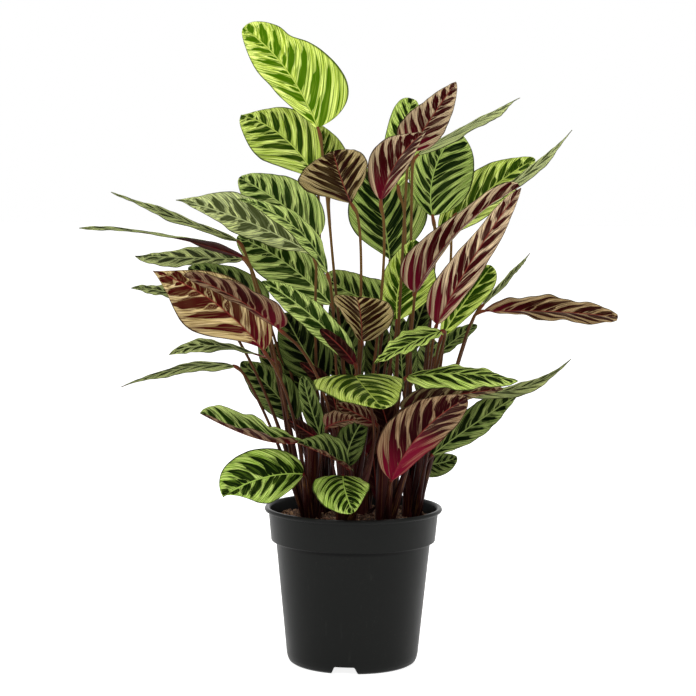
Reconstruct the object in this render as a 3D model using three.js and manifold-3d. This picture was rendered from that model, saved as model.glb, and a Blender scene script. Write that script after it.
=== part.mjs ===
// A potted calathea: 52 patterned leaf blades on thin stems, and sixteen small inner leaves, which rise in six
// shoots from the soil of a round plastic nursery pot. Millimetres, +Z up, front towards -Y.
// The origin is the centre of the pot's foot, on the surface that the pot stands on.
import * as THREE from "three";
import { mergeVertices } from "three/addons/utils/BufferGeometryUtils.js";
import Module from "manifold-3d";

const wasm = await Module();
wasm.setup();

// ---- Driving dimensions ----
const GAP = 0.4; // clearance between pieces that touch on the real plant

const POT_HEIGHT = 186;
const RIM_RADIUS = 105; // outside of the rolled lip
const LIP_HEIGHT = 5;
const BAND_TOP_RADIUS = 100.3; // outside of the stacking band, just under the lip
const BAND_FOOT_RADIUS = 97;
const BAND_FOOT_HEIGHT = 146.2;
const BODY_TOP_RADIUS = 91;
const BODY_TOP_HEIGHT = 142.5;
const LEDGE_DROP = 0.6; // how much lower the flat ledge under the band is at its inner edge
const LEDGE_FILLET = 1; // how far out from the body that inner edge is
const BODY_FOOT_RADIUS = 78;
const BODY_FOOT_HEIGHT = 12;
const FOOT_OUTER_RADIUS = 71;
const FOOT_INNER_RADIUS = 64;
const WALL = 2.2;
const FLOOR_UNDERSIDE = 10; // the floor is raised on the foot ring
const FLOOR_THICKNESS = 2.5;
const HUB_RADIUS = 14; // flat boss under the floor's centre, level with the foot ring
const ROUND_STEPS = 40; // facets round the pot and the soil
const NOTCH_ANGLES = [-97, 23, 143]; // degrees, water outlets in the foot ring
const NOTCH_WIDTH = 28;
const NOTCH_HEIGHT = 9.4;
const NOTCH_CORNER = 3;
const DRAIN_COUNT = 8;
const DRAIN_RADIUS = 5;
const DRAIN_CIRCLE = 48;

const SOIL_EDGE_HEIGHT = 172;
const SOIL_CROWN_HEIGHT = 176;

const BLADE_THICKNESS = 1.3;
const BLADE_ROOT_HALF_WIDTH = 1.9;
const BLADE_TIP_HALF_WIDTH = 0.8;
const STEM_FOOT_RADIUS = 3.8;
const STEM_TOP_RADIUS = 1.7;
const STEM_SIDES = 5;
const STEM_RINGS = 5;
const STEM_NECK = 7; // length of the straight swollen joint behind each blade
const STEM_TAPER = 2.2; // a stem has its top radius from this part of its length on: 1 / STEM_TAPER
const STEM_CIRCLE = 6.5; // stems leave a shoot's crown on a circle of this radius
const STEM_FOOT_HEIGHT = 171;
const STEM_LEAN = 0.44; // how far out a stem is at half its height, as a share of its reach
const INNER_LAP = 3; // how far the stem of an inner leaf reaches into its blade

// ---- The front elevation, on which the places of the leaves are drawn ----
// A place is [across, down, depth]: sheet units across and down, and millimetres behind the pot's axis.
// The sheet is a perspective drawn from EYE, looking slightly down: things in front are drawn larger.
const EYE = new THREE.Vector3(-7.9, -2600, 607);
const SHEET_CENTRE = 348;
const SHEET_SCALE = 2220; // units per unit of tangent
const LOOK_DOWN = THREE.MathUtils.degToRad(5.13);
const SHEET_TURN = THREE.MathUtils.degToRad(0.46);

function place([across, down, depth]) {
  const a = across - SHEET_CENTRE;
  const d = down - SHEET_CENTRE;
  const right = a * Math.cos(SHEET_TURN) + d * Math.sin(SHEET_TURN);
  const below = d * Math.cos(SHEET_TURN) - a * Math.sin(SHEET_TURN);
  const ray = new THREE.Vector3(
    right,
    SHEET_SCALE * Math.cos(LOOK_DOWN) - below * Math.sin(LOOK_DOWN),
    -SHEET_SCALE * Math.sin(LOOK_DOWN) - below * Math.cos(LOOK_DOWN),
  );
  return ray.multiplyScalar((depth - EYE.y) / ray.y).add(EYE);
}

// A vector drawn on the sheet at a place of that depth: [across, down, depth] again.
function direction([across, down, depth], at) {
  const scale = (at - EYE.y) / SHEET_SCALE;
  return new THREE.Vector3(across * scale, depth, -down * scale);
}

// ---- Shoots: where each crown stands in the soil, and how high its leaf sheaths wrap it ----
const SHOOTS = {
  shoot_left_front: { at: [-50, -14], sheathTop: 236 },
  shoot_left_back: { at: [-34, 32], sheathTop: 226 },
  shoot_centre_front: { at: [-8, -40], sheathTop: 222 },
  shoot_centre_back: { at: [10, 18], sheathTop: 240 },
  shoot_right_front: { at: [38, -28], sheathTop: 262 },
  shoot_right_back: { at: [69, 10], sheathTop: 218 },
};

// ---- Leaves ----
// base, mid and tip are places on the midrib. side is the direction, drawn in the same way, from the
// midrib to the right margin, seen from the base with the upper face up. left and right are the widths of
// the two halves at 1/5, 1/2 and 4/5 of the length, in millimetres, and fold is how far each half is
// lifted, [left, right], in degrees. twist turns the tip against the base. stem is a place that the stem
// passes half way.
const LEAVES = [
  {
    name: "leaf_01", shoot: "shoot_centre_back",
    base: [318, 128, 60], mid: [285, 68, 78], tip: [243, 28, 90],
    side: [54, -40, 6], left: [19, 31, 23], right: [55, 45, 27], fold: [14, 4], stem: [331, 240, 40],
  },
  {
    name: "leaf_02", shoot: "shoot_left_back",
    base: [316, 178, 85], mid: [283, 137, 110], tip: [241, 115, 130],
    side: [40, -47, 14], left: [23, 39, 30], right: [29, 38, 18], fold: [6, 6],
  },
  {
    name: "leaf_03", shoot: "shoot_centre_back",
    base: [330, 190, 118], mid: [324, 158, 136], tip: [311, 124, 152],
    side: [40, -10, 0], left: [19, 19, 14], right: [27, 29, 19], fold: [5, 5], stem: [333, 262, 90],
  },
  {
    name: "leaf_04", shoot: "shoot_left_back",
    base: [318, 237, 50], mid: [280, 203, 80], tip: [239, 178, 105],
    side: [34, -47, 26], left: [22, 34, 24], right: [31, 35, 21], fold: [6, 6],
  },
  {
    name: "leaf_05", shoot: "shoot_centre_front",
    base: [351, 203, -70], mid: [341, 178, -122], tip: [333, 151, -165],
    side: [-72, 18, 0], left: [16, 32, 29], right: [27, 48, 31], fold: [8, 8], stem: [361, 290, -62],
  },
  {
    name: "leaf_06", shoot: "shoot_centre_front",
    base: [381, 200, -60], mid: [398, 160, -95], tip: [426, 131, -118],
    side: [-46, -30, -10], left: [20, 25, 14], right: [25, 29, 12], fold: [50, 15], stem: [381, 300, -52],
  },
  {
    name: "leaf_07", shoot: "shoot_right_front",
    base: [411, 150, -10], mid: [431, 118, -36], tip: [456, 82, -60],
    side: [-38, -24, -16], left: [23, 23, 14], right: [27, 22, 11], fold: [10, 10], stem: [402, 262, -18],
  },
  {
    name: "leaf_08", shoot: "shoot_centre_back",
    base: [390, 261, 96], mid: [384, 222, 104], tip: [372, 166, 112],
    side: [46, -5, 0], left: [17, 40, 34], right: [29, 54, 40], fold: [5, 5],
  },
  {
    name: "leaf_09", shoot: "shoot_right_back",
    base: [418, 155, 18], mid: [470, 125, 25], tip: [521, 101, 40],
    side: [2, 7, -54], left: [20, 24, 12], right: [20, 24, 12], fold: [-6, -10], stem: [411, 250, 22],
  },
  {
    name: "leaf_10", shoot: "shoot_centre_back",
    base: [398, 186, 75], mid: [402, 140, 100], tip: [413, 99, 125],
    side: [42, 6, 0], left: [20, 21, 19], right: [20, 24, 17], fold: [6, 6], stem: [402, 290, 66],
  },
  {
    name: "leaf_11", shoot: "shoot_right_back",
    base: [432.5, 216, 55], mid: [434, 172, 80], tip: [457, 130, 100],
    side: [60, 16, 0], left: [21, 29, 14], right: [42, 48, 40], fold: [6, 6], stem: [432, 300, 40],
  },
  {
    name: "leaf_12", shoot: "shoot_right_back",
    base: [441, 234, 88], mid: [489, 190, 125], tip: [535, 159, 160],
    side: [34, 44, -20], left: [25, 30, 18], right: [20, 25, 15], fold: [5, 5],
  },
  {
    name: "leaf_13", shoot: "shoot_right_front",
    base: [415.5, 293, -50], mid: [456, 233, -88], tip: [520, 186, -98],
    side: [-26, -26, -14], left: [20, 20, 14], right: [30, 18, 14], fold: [62, 8], stem: [411, 335, -42],
  },
  {
    name: "leaf_14", shoot: "shoot_right_back",
    base: [456, 214, -10], mid: [519, 180, -6], tip: [572, 130, 4],
    side: [2, 11, -44], left: [16, 20, 10], right: [16, 20, 10], fold: [-4, -4], stem: [445, 330, 6],
  },
  {
    name: "leaf_15", shoot: "shoot_right_back",
    base: [437, 324, -90], mid: [475, 255, -132], tip: [521, 188, -150],
    side: [-45, -28, -10], left: [14, 18, 12], right: [25, 17, 10], fold: [8, 8], stem: [426, 400, -30],
  },
  {
    name: "leaf_16", shoot: "shoot_right_back",
    base: [442, 336, -22], mid: [466, 300, -16], tip: [492, 266, -6],
    side: [30, 24, -10], left: [12, 17, 14], right: [10, 17, 18], fold: [6, 6],
  },
  {
    name: "leaf_17", shoot: "shoot_right_back",
    base: [483, 305, 62], mid: [508, 280, 80], tip: [530, 253, 95],
    side: [1, 5, -40], left: [12, 15, 8], right: [12, 15, 8], fold: [6, 6], stem: [458, 365, 50],
  },
  {
    name: "leaf_18", shoot: "shoot_right_back",
    base: [484, 311, -34], mid: [548, 311, -54], tip: [618, 317, -70],
    side: [0, -30, -40], left: [9, 21, 22], right: [18, 24, 17], fold: [8, 8], stem: [456, 367, -24],
  },
  {
    name: "leaf_19", shoot: "shoot_right_back",
    base: [436, 357, 24], mid: [455, 340, 30], tip: [477, 325, 42],
    side: [9, 14, -20], left: [12, 15, 10], right: [8, 11, 8], fold: [8, 8],
  },
  {
    name: "leaf_20", shoot: "shoot_right_front",
    base: [441, 331, -118], mid: [410, 344, -135], tip: [374, 364, -150],
    side: [-6, -14, 30], left: [12, 15, 9], right: [18, 22, 12], fold: [6, 6], stem: [430, 390, -74],
  },
  {
    name: "leaf_21", shoot: "shoot_centre_back",
    base: [397, 320, 2], mid: [400, 282, 4], tip: [416, 240, 10],
    side: [54, 12, 0], left: [17, 22, 15], right: [29, 43, 33], fold: [6, 6],
  },
  {
    name: "leaf_22", shoot: "shoot_centre_back",
    base: [390, 308, 66], mid: [358, 297, 92], tip: [324, 276, 118],
    side: [22, -46, 20], left: [22, 24, 18], right: [30, 28, 22], fold: [5, 5],
  },
  {
    name: "leaf_23", shoot: "shoot_centre_front",
    base: [362, 341, -100], mid: [361, 318, -145], tip: [357, 297, -180],
    side: [-62, -16, 0], left: [24, 36, 35], right: [13, 24, 31], fold: [8, 8], stem: [356, 420, -56],
  },
  {
    name: "leaf_24", shoot: "shoot_centre_front",
    base: [355, 376, -112], mid: [367, 391, -170], tip: [383, 409, -228],
    side: [-92, -3, 0], left: [48, 41, 26], right: [50, 57, 37], fold: [4, 4], stem: [374, 440, -98],
  },
  {
    name: "leaf_25", shoot: "shoot_right_front",
    base: [407, 377, -120], mid: [460, 374, -150], tip: [518, 381, -165],
    side: [2, 20, -46], left: [20, 28, 16], right: [20, 28, 20], fold: [-15, -5],
  },
  {
    name: "leaf_26", shoot: "shoot_right_front",
    base: [391.5, 480, -88], mid: [421, 433, -132], tip: [467, 398, -150],
    side: [-46, -42, -14], left: [20, 32, 28], right: [32, 35, 21], fold: [28, 10],
  },
  {
    name: "leaf_27", shoot: "shoot_right_front",
    base: [402, 410, -84], mid: [444, 397, -98], tip: [503, 389, -104],
    side: [-4, -26, -34], left: [16, 18, 12], right: [20, 22, 14], fold: [6, 6],
  },
  {
    name: "leaf_28", shoot: "shoot_right_back",
    base: [432, 455, -24], mid: [480, 420, -34], tip: [528, 389, -40],
    side: [21, 31, -14], left: [18, 20, 17], right: [12, 16, 5], fold: [-6, -6],
  },
  {
    name: "leaf_29", shoot: "shoot_right_back",
    base: [446, 386, -52], mid: [513, 390, -66], tip: [571, 359, -62],
    side: [2, 9, -35], left: [14, 17, 9], right: [14, 17, 9], fold: [-6, -6], stem: [430, 440, -36],
  },
  {
    name: "leaf_30", shoot: "shoot_right_back",
    base: [413, 461, 36], mid: [434, 464, 34], tip: [457, 457, 28],
    side: [-2, 30, -4], left: [12, 14, 10], right: [13, 16, 12], fold: [4, 4],
  },
  {
    name: "leaf_31", shoot: "shoot_left_front",
    base: [303, 474, -62], mid: [262, 478, -112], tip: [223, 497, -138],
    side: [14, -50, 20], left: [24, 30, 12], right: [25, 34, 30], fold: [-4, 4],
  },
  {
    name: "leaf_32", shoot: "shoot_centre_front",
    base: [343, 476, -96], mid: [345, 491, -128], tip: [353, 513, -146],
    side: [-60, -4, 0], left: [26, 28, 17], right: [30, 36, 24], fold: [2, 2],
  },
  {
    name: "leaf_33", shoot: "shoot_left_front",
    base: [303, 441, -78], mid: [260, 439, -106], tip: [200, 413, -122],
    side: [0, -6, 50], left: [13, 20, 11], right: [16, 26, 26], fold: [38, 38],
  },
  {
    name: "leaf_35", shoot: "shoot_left_front",
    base: [234, 366, -50], mid: [184, 368, -72], tip: [121, 387, -92],
    side: [-2, -9, 41], left: [14, 16, 7], right: [14, 16, 7], fold: [-5, -5], stem: [271, 428, -40],
  },
  {
    name: "leaf_36", shoot: "shoot_left_front",
    base: [276, 361, -34], mid: [213, 346, -30], tip: [169, 355, -26],
    side: [0, -10, 38], left: [10, 13, 7], right: [10, 13, 7], fold: [2, 2], twist: 90, stem: [286, 428, -28],
  },
  {
    name: "leaf_37", shoot: "shoot_left_front",
    base: [263.6, 351, -100], mid: [214, 302, -116], tip: [153, 271, -108],
    side: [-41, 56, 0], left: [34, 34, 14], right: [19, 42, 25], fold: [8, 8], stem: [294, 420, -74],
  },
  {
    name: "leaf_38", shoot: "shoot_centre_front",
    base: [279, 329, -128], mid: [235, 297, -158], tip: [184, 275, -168],
    side: [-12, 22, 44], left: [29, 26, 17], right: [12, 18, 16], fold: [10, 10], stem: [326, 400, -92],
  },
  {
    name: "leaf_39", shoot: "shoot_left_front",
    base: [212, 306, 2], mid: [170, 293, 0], tip: [131, 288, -4],
    side: [2, -12, 26], left: [10, 12, 8], right: [10, 12, 8], fold: [4, 4], stem: [268, 400, -12],
  },
  {
    name: "leaf_40", shoot: "shoot_left_back",
    base: [243, 259, 62], mid: [192, 258, 66], tip: [135, 256, 60],
    side: [0, -16, 30], left: [12, 18, 20], right: [20, 20, 8], fold: [4, 4],
  },
  {
    name: "leaf_41", shoot: "shoot_left_back",
    base: [268, 302, 22], mid: [228, 281, 34], tip: [188, 268, 42],
    side: [14, -32, 20], left: [16, 18, 12], right: [18, 19, 12], fold: [5, 5], stem: [296, 395, 34],
  },
  {
    name: "leaf_42", shoot: "shoot_left_front",
    base: [243, 257, -62], mid: [165, 236, -84], tip: [79, 228, -108],
    side: [0, 6, 50], left: [18, 20, 11], right: [18, 20, 11], fold: [2, 2], twist: 44, stem: [276, 360, -40],
  },
  {
    name: "leaf_43", shoot: "shoot_left_front",
    base: [238, 241, -14], mid: [176, 218, -16], tip: [111, 192, -26],
    side: [2, -8, 40], left: [14, 17, 10], right: [14, 17, 10], fold: [0, 0],
  },
  {
    name: "leaf_44", shoot: "shoot_left_back",
    base: [312, 254, -18], mid: [245, 221, -30], tip: [176, 200, -52],
    side: [13, -36, 34], left: [15, 22, 9], right: [20, 34, 17], fold: [4, 4], stem: [316, 360, -4],
  },
  {
    name: "leaf_45", shoot: "shoot_centre_front",
    base: [327, 273, -62], mid: [294, 227, -100], tip: [237, 199, -112],
    side: [14, -15, 42], left: [16, 22, 12], right: [17, 21, 12], fold: [8, 8], stem: [335, 345, -45],
  },
  {
    name: "leaf_46", shoot: "shoot_left_back",
    base: [331, 304, 20], mid: [284, 262, 26], tip: [237, 237, 36],
    side: [22, -30, 20], left: [22, 32, 24], right: [22, 26, 18], fold: [4, 4], stem: [328, 380, 34],
  },
  {
    name: "leaf_47", shoot: "shoot_centre_front",
    base: [354, 360, -84], mid: [309, 314, -86], tip: [262, 281, -86],
    side: [18, -22, 18], left: [15, 17, 12], right: [15, 17, 12], fold: [4, 4], stem: [350, 430, -54],
  },
  {
    name: "leaf_48", shoot: "shoot_left_back",
    base: [325, 382, 8], mid: [304, 350, 12], tip: [284, 313, 18],
    side: [46, -26, 20], left: [22, 30, 20], right: [24, 30, 20], fold: [5, 5],
  },
  {
    name: "leaf_50", shoot: "shoot_left_front",
    base: [296, 420, 0], mid: [272, 390, 12], tip: [241, 362, 22],
    side: [24, -24, 20], left: [20, 24, 16], right: [22, 26, 16], fold: [5, 5],
  },
  {
    name: "leaf_52", shoot: "shoot_centre_front",
    base: [327, 427, -88], mid: [341, 421, -112], tip: [358, 420, -130],
    side: [-4, -16, -20], left: [8, 10, 6], right: [14, 16, 10], fold: [8, 8],
  },
  {
    name: "leaf_54", shoot: "shoot_centre_front",
    base: [348, 468, -82], mid: [326, 455, -118], tip: [297, 443, -138],
    side: [6, -6, 40], left: [20, 20, 10], right: [22, 26, 14], fold: [34, 34],
  },
  {
    name: "leaf_55", shoot: "shoot_centre_front",
    base: [346, 466, -62], mid: [351, 442, -68], tip: [365, 418, -72],
    side: [42, 10, 0], left: [15, 18, 14], right: [14, 16, 12], fold: [5, 5],
  },
  {
    name: "leaf_58", shoot: "shoot_right_back",
    base: [424, 398, 60], mid: [427, 366, 92], tip: [431, 338, 125],
    side: [44, 6, 0], left: [14, 16, 12], right: [16, 18, 14], fold: [5, 5], stem: [424, 445, 12],
  },
];

// Small inner leaves, each of one piece with its shoot.
const INNER_LEAVES = [
  {
    name: "34", shoot: "shoot_centre_back",
    base: [341, 380, 70], mid: [333, 352, 84], tip: [322, 326, 92],
    side: [36, -10, 0], left: [13, 16, 12], right: [13, 16, 12], fold: [5, 5],
  },
  {
    name: "49", shoot: "shoot_centre_back",
    base: [379, 392, 72], mid: [378, 358, 84], tip: [380, 322, 92],
    side: [40, 2, 0], left: [15, 18, 14], right: [15, 18, 14], fold: [5, 5],
  },
  {
    name: "51", shoot: "shoot_left_front",
    base: [322, 440, -30], mid: [311, 408, -36], tip: [303, 376, -38],
    side: [40, -10, 0], left: [9, 11, 9], right: [10, 12, 9], fold: [5, 5],
  },
  {
    name: "53", shoot: "shoot_right_back",
    base: [408, 354, 30], mid: [417, 324, 34], tip: [427, 297, 36],
    side: [40, 12, 0], left: [11, 13, 11], right: [11, 13, 11], fold: [5, 5],
  },
  {
    name: "56", shoot: "shoot_left_back",
    base: [338, 392, -20], mid: [318, 376, -22], tip: [300, 362, -24],
    side: [-20, 26, 14], left: [7, 9, 6], right: [7, 9, 6], fold: [5, 5],
  },
  {
    name: "57", shoot: "shoot_centre_front",
    base: [376, 424, -84], mid: [358, 414, -90], tip: [336, 404, -92],
    side: [-10, 26, 14], left: [10, 12, 8], right: [10, 12, 8], fold: [5, 5],
  },
  {
    name: "59", shoot: "shoot_right_front",
    base: [392, 458, -64], mid: [388, 428, -70], tip: [380, 402, -72],
    side: [-40, 4, 0], left: [14, 17, 14], right: [14, 17, 14], fold: [5, 5],
  },
  {
    name: "60", shoot: "shoot_left_back",
    base: [318, 404, 40], mid: [296, 374, 48], tip: [276, 342, 54],
    side: [34, -24, 10], left: [12, 15, 12], right: [12, 15, 12], fold: [5, 5],
  },
  {
    name: "61", shoot: "shoot_left_front",
    base: [318, 438, -52], mid: [303, 429, -58], tip: [288, 419, -62],
    side: [-12, 24, 10], left: [6, 8, 6], right: [6, 8, 6], fold: [5, 5],
  },
  {
    name: "62", shoot: "shoot_centre_front",
    base: [355, 364, -104], mid: [340, 346, -108], tip: [320, 329, -108],
    side: [-20, 20, 8], left: [7, 8, 6], right: [8, 9, 7], fold: [5, 5], stem: [352, 432, -52],
  },
  {
    name: "63", shoot: "shoot_centre_back",
    base: [354, 384, 40], mid: [345, 343, 46], tip: [333, 300, 50],
    side: [40, -8, 0], left: [12, 15, 12], right: [18, 22, 16], fold: [5, 5],
  },
  {
    name: "64", shoot: "shoot_centre_front",
    base: [366, 454, -26], mid: [360, 426, -28], tip: [352, 396, -28],
    side: [-40, 6, 0], left: [12, 15, 12], right: [12, 15, 12], fold: [5, 5],
  },
  {
    name: "65", shoot: "shoot_centre_back",
    base: [377, 500, 4], mid: [374, 464, 8], tip: [370, 424, 10],
    side: [-40, 2, 0], left: [7, 8, 6], right: [7, 8, 6], fold: [5, 5],
  },
  {
    name: "66", shoot: "shoot_right_back",
    base: [404, 392, 44], mid: [401, 354, 50], tip: [399, 316, 54],
    side: [40, 0, 0], left: [11, 13, 12], right: [17, 20, 14], fold: [5, 5],
  },
  {
    name: "67", shoot: "shoot_centre_front",
    base: [346, 444, -34], mid: [338, 415, -38], tip: [331, 386, -40],
    side: [-40, 8, 0], left: [8, 10, 8], right: [14, 16, 10], fold: [5, 5],
  },
  {
    name: "68", shoot: "shoot_left_back",
    base: [288, 396, 34], mid: [273, 368, 42], tip: [260, 338, 46],
    side: [30, -14, 12], left: [9, 12, 9], right: [9, 12, 9], fold: [5, 5],
  },
];

// ---- Solids ----

// The point at share t of the parabola through a, m half way, and b.
function arc(a, m, b, t) {
  return new THREE.Vector3()
    .addScaledVector(a, (1 - t) * (1 - 2 * t))
    .addScaledVector(m, 4 * t * (1 - t))
    .addScaledVector(b, t * (2 * t - 1));
}

// The direction of travel along that parabola.
function arcTangent(a, m, b, t) {
  return new THREE.Vector3()
    .addScaledVector(a, 4 * t - 3)
    .addScaledVector(m, 4 - 8 * t)
    .addScaledVector(b, 4 * t - 1)
    .normalize();
}

// A closed solid skinned over rings of equally many points, each ring running round the direction of travel.
function loft(rings) {
  const size = rings[0].length;
  const points = rings.flat();
  const faces = [];
  for (let r = 0; r + 1 < rings.length; r++) {
    for (let i = 0; i < size; i++) {
      const a = r * size + i;
      const b = r * size + ((i + 1) % size);
      faces.push(a, b, b + size, a, b + size, a + size);
    }
  }
  const last = points.length - size;
  for (let i = 1; i + 1 < size; i++) {
    faces.push(0, i + 1, i, last, last + i, last + i + 1);
  }
  return new THREE.BufferGeometry().setFromPoints(points).setIndex(faces);
}

function toSolid(geometry) {
  const position = geometry.getAttribute("position");
  const bare = new THREE.BufferGeometry().setAttribute("position", position);
  if (geometry.index) bare.setIndex(geometry.index);
  const merged = mergeVertices(bare, 1e-3);
  return new wasm.Manifold(
    new wasm.Mesh({
      numProp: 3,
      vertProperties: merged.attributes.position.array,
      triVerts: new Uint32Array(merged.index.array),
    }),
  );
}

function toGeometry(solid) {
  const { vertProperties, triVerts } = solid.getMesh();
  return new THREE.BufferGeometry()
    .setAttribute("position", new THREE.BufferAttribute(vertProperties, 3))
    .setIndex(new THREE.BufferAttribute(triVerts, 1));
}

// A solid of revolution about Z, from [radius, height] points that start and end on the axis.
function turned(profile, steps = ROUND_STEPS) {
  const points = profile.map(([radius, height]) => new THREE.Vector2(radius, height));
  return new THREE.LatheGeometry(points, steps).rotateX(Math.PI / 2);
}

// ---- Pot ----
const inside = {
  foot: [BODY_FOOT_RADIUS - WALL, BODY_FOOT_HEIGHT + 5],
  bodyTop: [BODY_TOP_RADIUS - WALL, BAND_FOOT_HEIGHT],
  bandFoot: [BAND_FOOT_RADIUS - WALL, BAND_FOOT_HEIGHT + WALL],
  bandTop: [BAND_TOP_RADIUS - WALL, POT_HEIGHT - 2],
};
const FLOOR_TOP = FLOOR_UNDERSIDE + FLOOR_THICKNESS;
const FLOOR_RADIUS = BODY_FOOT_RADIUS - WALL - 5;

function potSolid() {
  const shell = toSolid(
    turned([
      [0, 0],
      [HUB_RADIUS, 0],
      [HUB_RADIUS + 1, FLOOR_UNDERSIDE],
      [FOOT_INNER_RADIUS - 1, FLOOR_UNDERSIDE],
      [FOOT_INNER_RADIUS, 0],
      [FOOT_OUTER_RADIUS, 0],
      [FOOT_OUTER_RADIUS + 4, 2.5],
      [BODY_FOOT_RADIUS - 1, 7],
      [BODY_FOOT_RADIUS, BODY_FOOT_HEIGHT],
      [BODY_TOP_RADIUS, BODY_TOP_HEIGHT],
      [BODY_TOP_RADIUS + LEDGE_FILLET, BAND_FOOT_HEIGHT - LEDGE_DROP],
      [BAND_FOOT_RADIUS, BAND_FOOT_HEIGHT],
      [BAND_TOP_RADIUS, POT_HEIGHT - LIP_HEIGHT],
      [RIM_RADIUS - 1, POT_HEIGHT - LIP_HEIGHT],
      [RIM_RADIUS, POT_HEIGHT - LIP_HEIGHT + 2],
      [RIM_RADIUS - 0.6, POT_HEIGHT - 0.8],
      [RIM_RADIUS - 2, POT_HEIGHT],
      [RIM_RADIUS - 4, POT_HEIGHT],
      inside.bandTop,
      inside.bandFoot,
      inside.bodyTop,
      inside.foot,
      [FLOOR_RADIUS, FLOOR_TOP],
      [0, FLOOR_TOP],
    ]),
  );
  let cuts = null;
  const cut = (solid) => {
    cuts = cuts ? cuts.add(solid) : solid;
  };
  for (const angle of NOTCH_ANGLES) cut(notch(THREE.MathUtils.degToRad(angle)));
  for (let i = 0; i < DRAIN_COUNT; i++) {
    const angle = ((i + 0.5) / DRAIN_COUNT) * 2 * Math.PI;
    const drill = new THREE.CylinderGeometry(DRAIN_RADIUS, DRAIN_RADIUS, 10, 10)
      .rotateX(Math.PI / 2)
      .translate(DRAIN_CIRCLE * Math.cos(angle), DRAIN_CIRCLE * Math.sin(angle), FLOOR_UNDERSIDE + 1);
    cut(toSolid(drill));
  }
  return shell.subtract(cuts);
}

// A water outlet: a slot through the foot ring with rounded upper corners, flared where it meets the table.
function notch(angle) {
  const half = NOTCH_WIDTH / 2;
  const outline = new THREE.Shape();
  outline.moveTo(-half - 2, -1);
  outline.lineTo(half + 2, -1);
  outline.lineTo(half, 3);
  outline.lineTo(half, NOTCH_HEIGHT - NOTCH_CORNER);
  outline.lineTo(half - NOTCH_CORNER, NOTCH_HEIGHT);
  outline.lineTo(NOTCH_CORNER - half, NOTCH_HEIGHT);
  outline.lineTo(-half, NOTCH_HEIGHT - NOTCH_CORNER);
  outline.lineTo(-half, 3);
  const depth = 30;
  const slot = new THREE.ExtrudeGeometry(outline, { depth, bevelEnabled: false })
    .rotateX(Math.PI / 2) // upright, running towards -Y
    .translate(0, -FOOT_INNER_RADIUS + 6, 0)
    .rotateZ(angle + Math.PI / 2);
  return toSolid(slot);
}

// ---- Soil, with a socket round each crown ----
function crownProfile(clearance, top) {
  return [
    [0, 96 - clearance],
    [8 + clearance, 100 - clearance],
    [13 + clearance, 124],
    [15 + clearance, 150],
    ...top,
  ];
}

function soilSolid() {
  const shrink = ([radius, height]) => [radius - GAP, height];
  let soil = toSolid(
    turned([
      [0, FLOOR_TOP + GAP],
      [FLOOR_RADIUS - GAP, FLOOR_TOP + GAP],
      shrink(inside.foot),
      shrink(inside.bodyTop),
      shrink(inside.bandFoot),
      [BAND_FOOT_RADIUS - WALL - GAP + 1.6, SOIL_EDGE_HEIGHT],
      [60, SOIL_EDGE_HEIGHT + 2],
      [0, SOIL_CROWN_HEIGHT],
    ]),
  );
  for (const { at: [x, y] } of Object.values(SHOOTS)) {
    const socket = turned(crownProfile(GAP, [[15 + GAP, 190], [0, 190]]), 10).translate(x, y, 0);
    soil = soil.subtract(toSolid(socket));
  }
  return soil;
}

// ---- Leaf blades ----
const STATIONS = [0, 0.03, 0.1, 0.22, 0.38, 0.56, 0.74, 0.89, 1];

function midrib(leaf) {
  return [leaf.base, leaf.mid, leaf.tip].map(place);
}

// An ellipse times the parabola that gives the three widths of that half.
function halfWidth([nearBase, middle, nearTip], t) {
  const a = nearBase / 0.8; // the ellipse is 0.8 high at 1/5 and at 4/5
  const c = nearTip / 0.8;
  const u = (t - 0.5) / 0.3;
  const width = (middle + ((c - a) / 2) * u + ((a + c) / 2 - middle) * u * u) * Math.sqrt(4 * t * (1 - t));
  return Math.max(width, t < 0.5 ? BLADE_ROOT_HALF_WIDTH : BLADE_TIP_HALF_WIDTH);
}

// The middle of the blade at share t of its length, and its frame: along the midrib, to the right, and up.
function bladeFrame(leaf, t) {
  const [base, mid, tip] = midrib(leaf);
  const along = arcTangent(base, mid, tip, t);
  const right = direction(leaf.side, leaf.mid[2]);
  right.addScaledVector(along, -right.dot(along)).normalize();
  right.applyAxisAngle(along, -THREE.MathUtils.degToRad((leaf.twist ?? 0) * (t - 0.4)));
  const up = new THREE.Vector3().crossVectors(right, along);
  return { at: arc(base, mid, tip, t), along, right, up };
}

// A ring round the blade at share t: its lower face from right to left, then its upper face back again.
function bladeRing(leaf, t) {
  const { at, right, up } = bladeFrame(leaf, t);
  const [foldLeft, foldRight] = leaf.fold.map(THREE.MathUtils.degToRad);
  const margin = (side, fold, width) =>
    at
      .clone()
      .addScaledVector(right, side * width * Math.cos(fold))
      .addScaledVector(up, width * Math.sin(fold));
  const skin = [
    margin(-1, foldLeft, halfWidth(leaf.left, t)),
    at,
    margin(1, foldRight, halfWidth(leaf.right, t)),
  ];
  const half = BLADE_THICKNESS / 2;
  const lower = skin.map((point) => point.clone().addScaledVector(up, -half)).reverse();
  const upper = skin.map((point) => point.clone().addScaledVector(up, half));
  return [...lower, ...upper];
}

function bladeGeometry(leaf) {
  return loft(STATIONS.map((t) => bladeRing(leaf, t)));
}

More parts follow.
